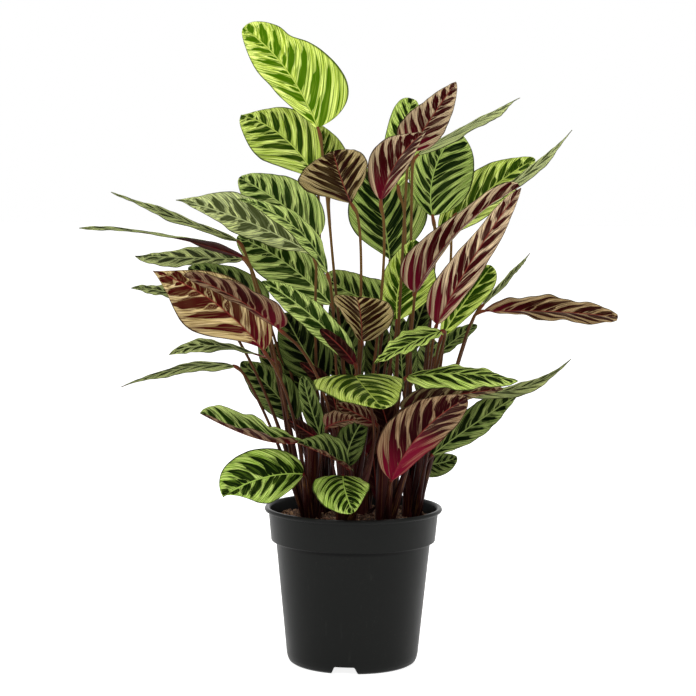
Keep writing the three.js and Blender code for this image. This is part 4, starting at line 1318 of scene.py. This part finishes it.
    LeafBlade("63", Shoot.CENTRE_BACK, (354, 384, 40), (345, 343, 46), (333, 300, 50), side=(40, -8, 0),
              left=(12, 15, 12), right=(18, 22, 16), inner=True, upper=Upper.DUSK, fill=0.66),
    LeafBlade("64", Shoot.CENTRE_FRONT, (366, 454, -26), (360, 426, -28), (352, 396, -28), side=(-40, 6, 0),
              left=(12, 15, 12), right=(12, 15, 12), inner=True, lower=Lower.MAROON, fill=0.8),
    LeafBlade("65", Shoot.CENTRE_BACK, (377, 500, 4), (374, 464, 8), (370, 424, 10), side=(-40, 2, 0),
              left=(7, 8, 6), right=(7, 8, 6), inner=True, lower=Lower.MAROON, fill=0.8),
    LeafBlade("66", Shoot.RIGHT_BACK, (404, 392, 44), (401, 354, 50), (399, 316, 54), side=(40, 0, 0),
              left=(11, 13, 12), right=(17, 20, 14), inner=True, upper=Upper.SHADED, fill=0.66),
    LeafBlade("67", Shoot.CENTRE_FRONT, (346, 444, -34), (338, 415, -38), (331, 386, -40), side=(-40, 8, 0),
              left=(8, 10, 8), right=(14, 16, 10), inner=True, lower=Lower.MAROON, fill=0.8),
    LeafBlade("68", Shoot.LEFT_BACK, (288, 396, 34), (273, 368, 42), (260, 338, 46), side=(30, -14, 12),
              left=(9, 12, 9), right=(9, 12, 9), inner=True, upper=Upper.SHADED, fill=0.66),
)


# ---------------------------------------------------------------- shoots


@dataclass(frozen=True)
class ShootStems:
    """One shoot: its stems, each from the crown to its blade, and the sheaths that wrap their feet.

    Attributes:
        shoot: which shoot.
        blades: the blades that it bears.
        foot_height: the height of the stems' feet, in millimetres, as every size here.
        circle: the radius of the circle that they stand on.
        foot_radius, top_radius: a stem's radius at its foot and above its taper.
        taper: how many times sooner than at the blade the taper ends.
        joint: how much thicker the swollen joint behind the blade is.
        joint_at, joint_spread: where it is thickest along the stem, and how far it spreads.
        neck: how far behind the blade's base the joint lies.
        lean: how much of the way to the blade a stem without a stated place has gone half way up.
        flatness, flat_end: how much wider than thick a stem is at its foot, as a share, and where along
            it the stem is round.
        sheath_count, sheath_thickness: the sheaths.
        spread: half the angle that a sheath wraps at its foot, least and most, in degrees.
        reach: a sheath's height, least and most, as a share of the shoot's sheathed height.
        point: the power by which a sheath narrows to its point.
        wrap: the radius of the sheaths at their feet, and how much of it they lose going up.
        offset: how far a sheath stands out from that radius, least and most.
        flare, opening: how much further out its margins and its point stand.
    """

    shoot: Shoot
    blades: tuple[LeafBlade, ...]
    foot_height: float = 171.0
    circle: float = 6.5
    foot_radius: float = 4.4
    top_radius: float = 1.65
    taper: float = 1.7
    joint: float = 0.75
    joint_at: float = 0.972
    joint_spread: float = 0.02
    neck: float = 7.0
    lean: float = 0.44
    flatness: float = 0.35
    flat_end: float = 0.35
    sheath_count: int = 9
    sheath_thickness: float = 0.9
    spread: tuple[float, float] = (55.0, 80.0)
    reach: tuple[float, float] = (0.75, 2.0)
    point: float = 2.2
    wrap: tuple[float, float] = (10.5, 4.0)
    offset: tuple[float, float] = (-0.8, 1.4)
    flare: float = 1.2
    opening: float = 1.8

    # Rings along a stem below and above the start of its last bend, and corners round it.
    LOWER_RINGS = 32
    UPPER_RINGS = 12
    SIDES = 12
    # Where the last bend starts, as a share of the way.
    BEND_START = 0.88
    # Points up and across a sheath.
    SHEATH_ROWS = 26
    SHEATH_COLUMNS = 15

    def route(self, blade: LeafBlade) -> Array:
        """A stem's centre line.

        A parabola from the crown through the middle place towards the neck, and from 0.88 of it a
        quadratic curve whose control point is the neck, so that it enters the blade along the midrib.

        Args:
            blade: the blade that the stem bears.

        Returns:
            Points in millimetres, (rings, 3).
        """
        x, y, _ = self.shoot.value
        at, along, _, _ = blade.axes(np.array([0.0]))
        base, way = at[0], along[0]
        neck = base - way * self.neck
        out = unit(np.array([neck[0] - x, neck[1] - y, 0.0]))
        foot = np.array([x, y, self.foot_height]) + out * self.circle
        if blade.stem is None:
            middle = foot + (neck - foot) * np.array([self.lean, self.lean, 0.5])
        else:
            middle = SHEET.place(blade.stem)
        lower = arc(foot, middle, neck, np.linspace(0.0, self.BEND_START, self.LOWER_RINGS))
        t = np.linspace(0.0, 1.0, self.UPPER_RINGS + 1)[1:, None]
        upper = lower[-1] * (1 - t) ** 2 + neck * 2 * t * (1 - t) + (base + way * 1.5) * t**2
        return np.concatenate([lower, upper])

    def stem(self, blade: LeafBlade) -> Skin:
        """One stem: a round tube that tapers, with a swollen joint behind the blade.

        The radius is the foot's, less the taper times the smooth step of 1.7 u, plus a bell near the blade,
        with u the place along. Near the foot the section is an ellipse, flattened like a sheath.

        Args:
            blade: the blade that the stem bears.

        Returns:
            The stem, with the values that its finish reads.
        """
        path = self.route(blade)
        steps = np.linalg.norm(np.diff(path, axis=0), axis=1)
        u = np.concatenate([[0.0], np.cumsum(steps)]) / steps.sum()
        heading = unit(np.gradient(path, axis=0))
        bend = np.cross(path[len(path) // 2] - path[0], path[-1] - path[0])
        plane = unit(bend if np.linalg.norm(bend) > 1.0 else np.array([0.0, 1.0, 0.0]))
        across = unit(plane - heading * (heading @ plane)[:, None])
        beside = np.cross(heading, across)
        radius = self.foot_radius + (self.top_radius - self.foot_radius) * ease(self.taper * u)
        radius = radius + self.joint * swell(u, self.joint_at, self.joint_spread)
        wide = 1.0 + self.flatness * (1 - ease(u / self.flat_end))
        turn = np.arange(self.SIDES) * (2 * math.pi / self.SIDES)
        ring = (
            across[:, None, :] * (np.cos(turn) * (radius * wide)[:, None])[..., None]
            + beside[:, None, :] * (np.sin(turn) * (radius / wide)[:, None])[..., None]
        )
        made = Skin.tube((path[:, None, :] + ring) * MM, path[0] * MM, path[-1] * MM)
        # Each ring's values go to its corners, and the last two rows are those of the poles.
        rise = np.clip((path[:, 2] - self.foot_height) / 300.0, 0.0, 1.0)
        red = swell(u, 0.99, 0.02) * 0.4
        turned = np.minimum(turn, 2 * math.pi - turn)
        rise, along, red = (np.repeat(part, self.SIDES) for part in (rise, u, red))
        grow = np.concatenate([np.stack([rise, along], axis=-1), [[rise[0], 0.0], [rise[-1], 1.0]]])
        skin = np.stack([np.tile(turned, len(path)), red], axis=-1)
        skin = np.concatenate([skin, [[0.0, 0.0], [0.0, 0.4]]])
        made.values["grow"] = np.insert(grow, 2, blade.seed, axis=1)
        made.values["skin"] = np.insert(skin, 2, 0.0, axis=1)
        return made

    def sheath(self, number: int) -> Skin:
        """One sheath: a pointed sheet that wraps the crown.

        At the place v up and u across from -1 to 1 it stands at the angle centre + u * spread (1 - v^2.2),
        at a radius that falls from the crown's to the stems' as v rises, with its margins a little out.

        Args:
            number: which sheath of the shoot.

        Returns:
            The sheath, with the values that its finish reads.
        """
        x, y, top = self.shoot.value
        rng = np.random.default_rng(top * 10 + number)
        up, across = np.linspace(0.0, 1.0, self.SHEATH_ROWS), np.linspace(-1.0, 1.0, self.SHEATH_COLUMNS)
        v, u = np.meshgrid(up, across, indexing="ij")
        centre = (number / self.sheath_count + rng.uniform(-0.05, 0.05)) * 2 * math.pi
        spread = math.radians(rng.uniform(*self.spread))
        reach = (top - self.foot_height) * rng.uniform(*self.reach)
        angle = centre + u * spread * (1 - v**self.point) + 0.15 * np.sin(3 * v + number)
        foot, lost = self.wrap
        radius = foot - lost * ease(v) + self.flare * np.abs(u) ** 3 + rng.uniform(*self.offset)
        radius = radius + self.opening * v**3
        lean_x, lean_y = rng.uniform(-4, 4), rng.uniform(-4, 4)

        def shell(depth: float) -> Array:
            """The sheath's points, in metres, at that distance inside its outer face.

            Args:
                depth: the distance, in millimetres.

            Returns:
                Points, (rows, columns, 3).
            """
            r = radius - depth
            right, away = r * np.cos(angle) + lean_x * v**2, r * np.sin(angle) + lean_y * v**2
            return np.stack([x + right, y + away, self.foot_height - 2 + reach * v], axis=-1) * MM

        made = Skin.slab(shell(0.0), shell(self.sheath_thickness))
        # A sheath keeps to the dark foot of the stem's colours, and its ribs run up it.
        rise, turn = np.tile(v.ravel() * 0.12, 2), np.tile(u.ravel() * 1.6, 2)
        made.values["grow"] = np.stack([rise, rise, np.full_like(rise, number + top)], axis=-1)
        made.values["skin"] = np.stack([turn, np.full_like(rise, 0.15), np.zeros_like(rise)], axis=-1)
        return made

    def build(self, finish: bpy.types.Material) -> None:
        """Makes the shoot's stems and sheaths and sets them in place of its solid.

        Args:
            finish: the finish of every stem.
        """
        name = self.shoot.name.lower()
        stems = Skin.joined([self.stem(blade) for blade in self.blades])
        hand_over(stems.object(f"stems_{name}"), finish, "stem", self.shoot.node)
        sheaths = Skin.joined([self.sheath(i) for i in range(self.sheath_count)])
        hand_over(sheaths.object(f"sheaths_{name}"), finish, "stem")


# ---------------------------------------------------------------- the pot and what is in it


@dataclass(frozen=True)
class NurseryPot:
    """The round pot with a rolled lip, a stacking band and a foot ring, in millimetres and degrees.

    Attributes:
        height, rim: the pot's height and the radius of its rim.
        lip: how tall the rolled lip is.
        band_top, band_foot, band_height: the band's radii and the height of its foot.
        body_top, body_height: the radius and the height at which the body ends.
        ledge_drop, ledge_fillet: how far the ledge between them slopes down, and the width of its root.
        body_foot, foot_height: the body's radius at its foot, and where the foot starts to turn in.
        ring_outer, ring_inner: the foot ring's radii.
        wall, floor: thicknesses.
        raised: how high the floor lies over the ground.
        hub: the radius of the flat boss in the middle.
        notches, notch_width, notch_height: the directions and the size of the water outlets.
        drains, drain_radius, drain_circle: the number, the size and the circle of the drain holes.
        edge: how far before a corner of the outline its rounding starts.
        crease: the least angle at which two faces meet in a sharp edge.
    """

    height: float = 186.0
    rim: float = 105.0
    lip: float = 5.0
    band_top: float = 100.3
    band_foot: float = 97.0
    band_height: float = 146.2
    body_top: float = 91.0
    body_height: float = 142.5
    ledge_drop: float = 0.6
    ledge_fillet: float = 1.0
    body_foot: float = 78.0
    foot_height: float = 12.0
    ring_outer: float = 71.0
    ring_inner: float = 64.0
    wall: float = 2.2
    raised: float = 10.0
    floor: float = 2.5
    hub: float = 14.0
    notches: tuple[float, ...] = (-97.0, 23.0, 143.0)
    notch_width: float = 28.0
    notch_height: float = 9.4
    drains: int = 8
    drain_radius: float = 5.0
    drain_circle: float = 48.0
    edge: float = 1.1
    crease: float = 32.0

    # Facets round the pot, and round a drain hole.
    STEPS = 192
    DRAIN_STEPS = 28

    @staticmethod
    def rounded(profile: list[tuple[float, float]], radius: float) -> Array:
        """The profile with each corner replaced by a quadratic curve that starts `radius` before it.

        The curve's control point is the corner, and it takes at most 0.45 of either side.

        Args:
            profile: the corners.
            radius: how far before a corner its curve starts.

        Returns:
            The profile's points, (n, 2).
        """
        points = np.array(profile)
        corner, before, after = points[1:-1], points[:-2], points[2:]
        back, on = before - corner, after - corner
        length_back = np.linalg.norm(back, axis=1, keepdims=True)
        length_on = np.linalg.norm(on, axis=1, keepdims=True)
        reach = np.minimum(radius, 0.45 * np.minimum(length_back, length_on))
        start, end = corner + back / length_back * reach, corner + on / length_on * reach
        t = np.linspace(0, 1, 5)[None, :, None]
        curve = start[:, None] * (1 - t) ** 2 + corner[:, None] * 2 * t * (1 - t) + end[:, None] * t**2
        return np.concatenate([points[:1], curve.reshape(-1, 2), points[-1:]])

    def inside(self) -> list[tuple[float, float]]:
        """The inner wall's corners, from the lip down to the floor."""
        return [
            (self.band_top - self.wall, self.height - 2),
            (self.band_foot - self.wall, self.band_height + self.wall),
            (self.body_top - self.wall, self.band_height),
            (self.body_foot - self.wall, self.foot_height + 5),
            (self.body_foot - self.wall - 5, self.raised + self.floor),
        ]

    def shell(self) -> Skin:
        """The pot without its outlets and drains.

        Returns:
            The skin, turned from the outline that runs out along the foot, up and back inside.
        """
        lip_foot = self.height - self.lip
        outline = [
            (0.0, 0.0),
            (self.hub, 0.0),
            (self.hub + 1, self.raised),
            (self.ring_inner - 1, self.raised),
            (self.ring_inner, 0.0),
            (self.ring_outer, 0.0),
            (self.ring_outer + 4, 2.5),
            (self.body_foot - 1, 7.0),
            (self.body_foot, self.foot_height),
            (self.body_top, self.body_height),
            (self.body_top + self.ledge_fillet, self.band_height - self.ledge_drop),
            (self.band_foot, self.band_height),
            (self.band_top, lip_foot),
            (self.rim - 1, lip_foot),
            (self.rim, lip_foot + 2),
            (self.rim - 0.6, self.height - 0.8),
            (self.rim - 2, self.height),
            (self.rim - 4, self.height),
            *self.inside(),
            (0.0, self.raised + self.floor),
        ]
        profile = self.rounded(outline, self.edge)
        return Skin.turned(profile * MM, self.STEPS)

    def notch(self, angle: float) -> Skin:
        """The cutter of one water outlet: a flared slot with rounded upper corners, out through the ring.

        Args:
            angle: the direction of the outlet, in degrees.

        Returns:
            The cutter's skin.
        """
        half, top = self.notch_width / 2, self.notch_height
        flare = [(half + 2.5, -1), (half + 0.8, 2.5)]
        corner = [(half - 0.8, top - 3), (half - 1.6, top - 1), (half - 3.4, top)]
        side = flare + corner
        outline = np.array(side + [(-x, z) for x, z in side[::-1]])
        out = np.array([math.cos(math.radians(angle)), math.sin(math.radians(angle)), 0.0])
        along = np.array([-out[1], out[0], 0.0])
        up = np.array([0.0, 0.0, 1.0])
        near, far = out * (self.ring_inner - 6), out * (self.ring_inner + 24)
        section = along * outline[:, :1] + up * outline[:, 1:]
        rings = np.stack([near + section, far + section])
        middle = up * 4.0
        return Skin.tube(rings * MM, (near + middle) * MM, (far + middle) * MM)

    def drain(self, number: int) -> Skin:
        """The cutter of one round drain hole in the floor.

        Args:
            number: which hole.

        Returns:
            The cutter's skin.
        """
        angle = (number + 0.5) / self.drains * 2 * math.pi
        x, y = self.drain_circle * math.cos(angle), self.drain_circle * math.sin(angle)
        turn = np.arange(self.DRAIN_STEPS) * (2 * math.pi / self.DRAIN_STEPS)
        circle = np.stack([np.cos(turn), np.sin(turn), np.zeros_like(turn)], axis=-1) * self.drain_radius
        bottom, top = (np.array([x, y, self.raised + z]) for z in (-5, 7))
        return Skin.tube(np.stack([bottom + circle, top + circle]) * MM, bottom * MM, top * MM)

    def build(self, finish: bpy.types.Material) -> None:
        """Turns the pot, cuts its outlets and drains, and sets it in place of its solid.

        Args:
            finish: the pot's finish.
        """
        piece = self.shell().object("pot_shell", self.crease)
        cutters = [self.notch(a) for a in self.notches] + [self.drain(i) for i in range(self.drains)]
        cutter = Skin.joined(cutters).object("pot_cutters")
        cut = piece.modifiers.new("outlets", "BOOLEAN")
        cut.operation, cut.solver, cut.object = "DIFFERENCE", "EXACT", cutter
        evaluated = piece.evaluated_get(bpy.context.evaluated_depsgraph_get())
        mesh = bpy.data.meshes.new_from_object(evaluated)
        piece.modifiers.clear()
        piece.data = mesh
        bpy.data.objects.remove(cutter)
        mesh.set_sharp_from_angle(angle=math.radians(self.crease))
        mesh.materials.clear()
        hand_over(piece, finish, "pot_plastic", "nursery_pot")


@dataclass(frozen=True)
class PottingMix:
    """The potting mix: a lumpy bed that fills the pot, and loose crumbs of peat and bark on it.

    Attributes:
        edge_height, crown_height: the bed's height at its edge and in its middle, in millimetres.
        edge_radius: where it ends.
        foot_height: where it starts, over the floor of the pot.
        settled: how far its surface has sunk under those heights.
        clods, grains: the width and the height of its broad and of its small lumps.
        crumbs: how many crumbs lie on it.
        least_crumb: the least size of a crumb, before it is stretched.
        stretch, knobs: a crumb's length against its size, and a corner's against the rest, least and most.
    """

    edge_height: float = 172.0
    crown_height: float = 176.0
    edge_radius: float = 96.0
    foot_height: float = 12.9
    settled: float = 1.2
    clods: tuple[float, float] = (24.0, 1.1)
    grains: tuple[float, float] = (7.0, 0.7)
    crumbs: int = 4500
    least_crumb: float = 0.35
    stretch: tuple[float, float] = (0.45, 1.35)
    knobs: tuple[float, float] = (0.75, 1.25)

    # Facets round the bed, and rings on its surface.
    STEPS = 180
    RINGS = 64

    def surface(self, x: Array, y: Array) -> Array:
        """The bed's height: a low crown plus clods and grains, which are flatter at the edge.

        Args:
            x, y: places, in millimetres.

        Returns:
            The height at each place, in millimetres.
        """
        r = np.hypot(x, y)
        crown = self.edge_height + (self.crown_height - self.edge_height) * (1 - ease(r / self.edge_radius))
        (broad, high), (small, low) = self.clods, self.grains
        rough = high * lumps(x, y, broad, 5) + low * lumps(x, y, small, 6)
        return crown - self.settled + rough * (0.4 + 0.6 * ease((self.edge_radius - r) / 20))

    def bed(self) -> Skin:
        """The bed: a body turned to the pot's inside, whose upper rings are lifted to the surface.

        Returns:
            The skin, with the values that its finish reads.
        """
        sides = [(r - 0.5, max(z, self.foot_height + 0.1)) for r, z in NurseryPot().inside()[:0:-1]]
        lower = [(0.0, self.foot_height), (sides[0][0], self.foot_height), *sides]
        top = [(r, self.edge_height) for r in np.linspace(self.edge_radius, 1.5, self.RINGS)]
        made = Skin.turned(np.array([*lower, *top, (0.0, self.edge_height)]) * MM, self.STEPS)
        start, end = len(made.points) - 2 - self.RINGS * self.STEPS, len(made.points) - 2
        lifted = np.concatenate([np.arange(start, end), [end + 1]])
        x, y, _ = made.points[lifted].T / MM
        made.points[lifted, 2] = self.surface(x, y) * MM
        made.constant("chip", (0.05, 0.1, 0.0))
        return made

    @staticmethod
    def stone() -> tuple[Array, Array]:
        """A regular body of twelve corners and twenty faces.

        Its corners are (0, +-1, +-g) and the same with the three turned round, g the golden ratio, all
        divided by their length. Its faces are the triples of corners that are all near one another.

        Returns:
            The corners, (12, 3), and the faces, (20, 3), which look outwards.
        """
        golden = (1 + math.sqrt(5)) / 2
        ball = [(0, s, t * golden) for s in (-1, 1) for t in (-1, 1)]
        corners = unit(np.array([np.roll(a, -i) for i in range(3) for a in ball]))
        near = np.linalg.norm(corners[:, None] - corners[None], axis=-1) < 1.06
        faces = np.array(
            [(i, j, k) for i in range(12) for j in range(i + 1, 12) for k in range(j + 1, 12)
             if near[i, j] and near[j, k] and near[i, k]]
        )
        a, b, c = corners[faces].swapaxes(0, 1)
        inward = (np.cross(b - a, c - a) * a).sum(-1) < 0
        faces[inward] = faces[inward][:, ::-1]
        return corners, faces

    def scattered(self) -> Skin:
        """The crumbs: stones of twelve corners, each stretched, turned and set on the bed at random.

        Returns:
            All the crumbs as one skin, with the values that their finish reads.
        """
        rng = np.random.default_rng(11)
        corners, faces = self.stone()
        n = self.crumbs
        radius = self.edge_radius * np.sqrt(rng.uniform(0.0, 0.96, n))
        angle = rng.uniform(0, 2 * math.pi, n)
        x, y = radius * np.cos(angle), radius * np.sin(angle)
        size = rng.gamma(2.0, 0.3, n) + self.least_crumb
        stretch = rng.uniform(*self.stretch, (n, 1, 3)) * size[:, None, None]
        rough = rng.uniform(*self.knobs, (n, 12, 1))
        spin, _ = np.linalg.qr(rng.normal(size=(n, 3, 3)))
        spin = spin * np.sign(np.linalg.det(spin))[:, None, None]
        shapes = np.einsum("nij,nkj->nki", spin, corners * stretch * rough)
        centre = np.stack([x, y, self.surface(x, y) + 0.35 * size], axis=-1)
        points = ((shapes + centre[:, None]) * MM).reshape(-1, 3)
        every_face = (faces[None] + 12 * np.arange(n)[:, None, None]).reshape(-1, 3)
        light = np.repeat(rng.uniform(0, 1, n) ** 2.5, 12)
        red = np.repeat(rng.uniform(0, 1, n) ** 2, 12)
        return Skin(points, [every_face], {"chip": np.stack([light, red, np.zeros_like(red)], axis=-1)})

    def build(self, finish: bpy.types.Material) -> None:
        """Makes the bed in place of its solid, and the crumbs on it.

        Args:
            finish: the finish of both.
        """
        hand_over(self.bed().object("soil_bed"), finish, "potting_mix", "potting_soil")
        hand_over(self.scattered().object("soil_crumbs", crease=25), finish, "potting_mix")


# ---------------------------------------------------------------- the studio


@dataclass(frozen=True)
class Softbox:
    """A square area light that faces a point of the plant, in metres and watts.

    Attributes:
        name: the light's name.
        at, towards: where it hangs, and the point that it faces.
        size, power: the length of its side, and what it gives.
    """

    name: str
    at: Triple
    size: float
    power: float
    towards: Triple = (0.0, 0.0, 0.38)

    def build(self) -> None:
        """Hangs the light."""
        lamp = bpy.data.lights.new(self.name, "AREA")
        lamp.energy, lamp.size, lamp.shape = self.power, self.size, "SQUARE"
        made = bpy.data.objects.new(self.name, lamp)
        bpy.context.scene.collection.objects.link(made)
        back = unit(np.array(self.at) - np.array(self.towards))
        side = unit(np.cross([0.0, 0.0, 1.0], back))
        turn = Matrix(np.stack([side, np.cross(back, side), back], axis=1).tolist()).to_4x4()
        made.matrix_world = Matrix.Translation(self.at) @ turn


@dataclass(frozen=True)
class Studio:
    """The white floor, the light and the camera.

    Attributes:
        floor_size, floor_thickness: the floor's, in metres.
        walls, ceiling: how strongly the white walls and the dimmer ceiling glow.
        wall_top, ceiling_foot: the heights of a direction, from -1 to 1, where one passes into the other.
        sensor: the width of the camera's sensor, in millimetres.
        picture: the width of the elevation that the camera sees, in sheet units.
        softboxes: the lights.
    """

    floor_size: float = 30.0
    floor_thickness: float = 0.02
    walls: float = 1.0
    ceiling: float = 0.25
    wall_top: float = 0.12
    ceiling_foot: float = 0.55
    sensor: float = 36.0
    picture: int = 696
    softboxes: tuple[Softbox, ...] = (
        Softbox("key", (-1.5, -2.1, 1.9), 1.3, 22.0),
        Softbox("fill", (1.9, -1.7, 1.2), 1.2, 9.0),
        Softbox("overhead", (0.2, 0.5, 2.6), 1.4, 22.0),
    )

    def floor(self) -> None:
        """Lays the floor at the height of the pot's foot."""
        half = self.floor_size / 2
        x, y = np.meshgrid(np.linspace(-half, half, 9), np.linspace(-half, half, 9))
        top = np.stack([x, y, np.zeros_like(x)], axis=-1)
        piece = Skin.slab(top, top - [0.0, 0.0, self.floor_thickness]).object("studio_floor")
        piece.data.materials.append(PaperFinish().material())

    def sky(self) -> None:
        """Surrounds the scene with white walls under a dimmer ceiling, by the height of the direction."""
        world = bpy.data.worlds.new("white_studio")
        b = Bench(world, "Background")
        _, _, height = b.parts(b.out("ShaderNodeTexCoord", {}, {}, "Generated"))
        dimming = height.step(self.wall_top, self.ceiling_foot) * (self.walls - self.ceiling)
        b.dress(Color=tint("FFFFFF"), Strength=self.walls - dimming)
        bpy.context.scene.world = world

    def camera(self) -> None:
        """Sets the camera at the elevation's eye, looking as the elevation was drawn."""
        lens = bpy.data.cameras.new("camera")
        lens.sensor_width = self.sensor
        lens.lens = SHEET.scale / self.picture * self.sensor
        lens.clip_start, lens.clip_end = 0.05, 100.0
        made = bpy.data.objects.new("camera", lens)
        bpy.context.scene.collection.objects.link(made)
        pitch = Matrix.Rotation(math.pi / 2 - SHEET.look_down, 4, "X")
        roll = Matrix.Rotation(SHEET.turn, 4, "Z")
        made.matrix_world = Matrix.Translation(np.array(SHEET.eye) * MM) @ pitch @ roll
        bpy.context.scene.camera = made

    def build(self) -> None:
        """Sets up the whole studio."""
        scene = bpy.context.scene
        scene.view_settings.view_transform = "Standard"
        self.camera()
        self.floor()
        self.sky()
        for softbox in self.softboxes:
            softbox.build()


def main() -> None:
    """Builds the studio, the pot, the potting mix, the shoots and the blades, in that order."""
    logging.basicConfig(level=logging.INFO, format="%(name)s: %(message)s")
    Studio().build()
    NurseryPot().build(PlasticFinish().material())
    PottingMix().build(PeatFinish().material())
    stem_finish, leaf_finish = StemFinish().material(), LeafFinish().material()
    for shoot in Shoot:
        ShootStems(shoot, tuple(b for b in BLADES if b.shoot is shoot)).build(stem_finish)
    for blade in BLADES:
        blade.build(leaf_finish)


if __name__ == "__main__":
    main()
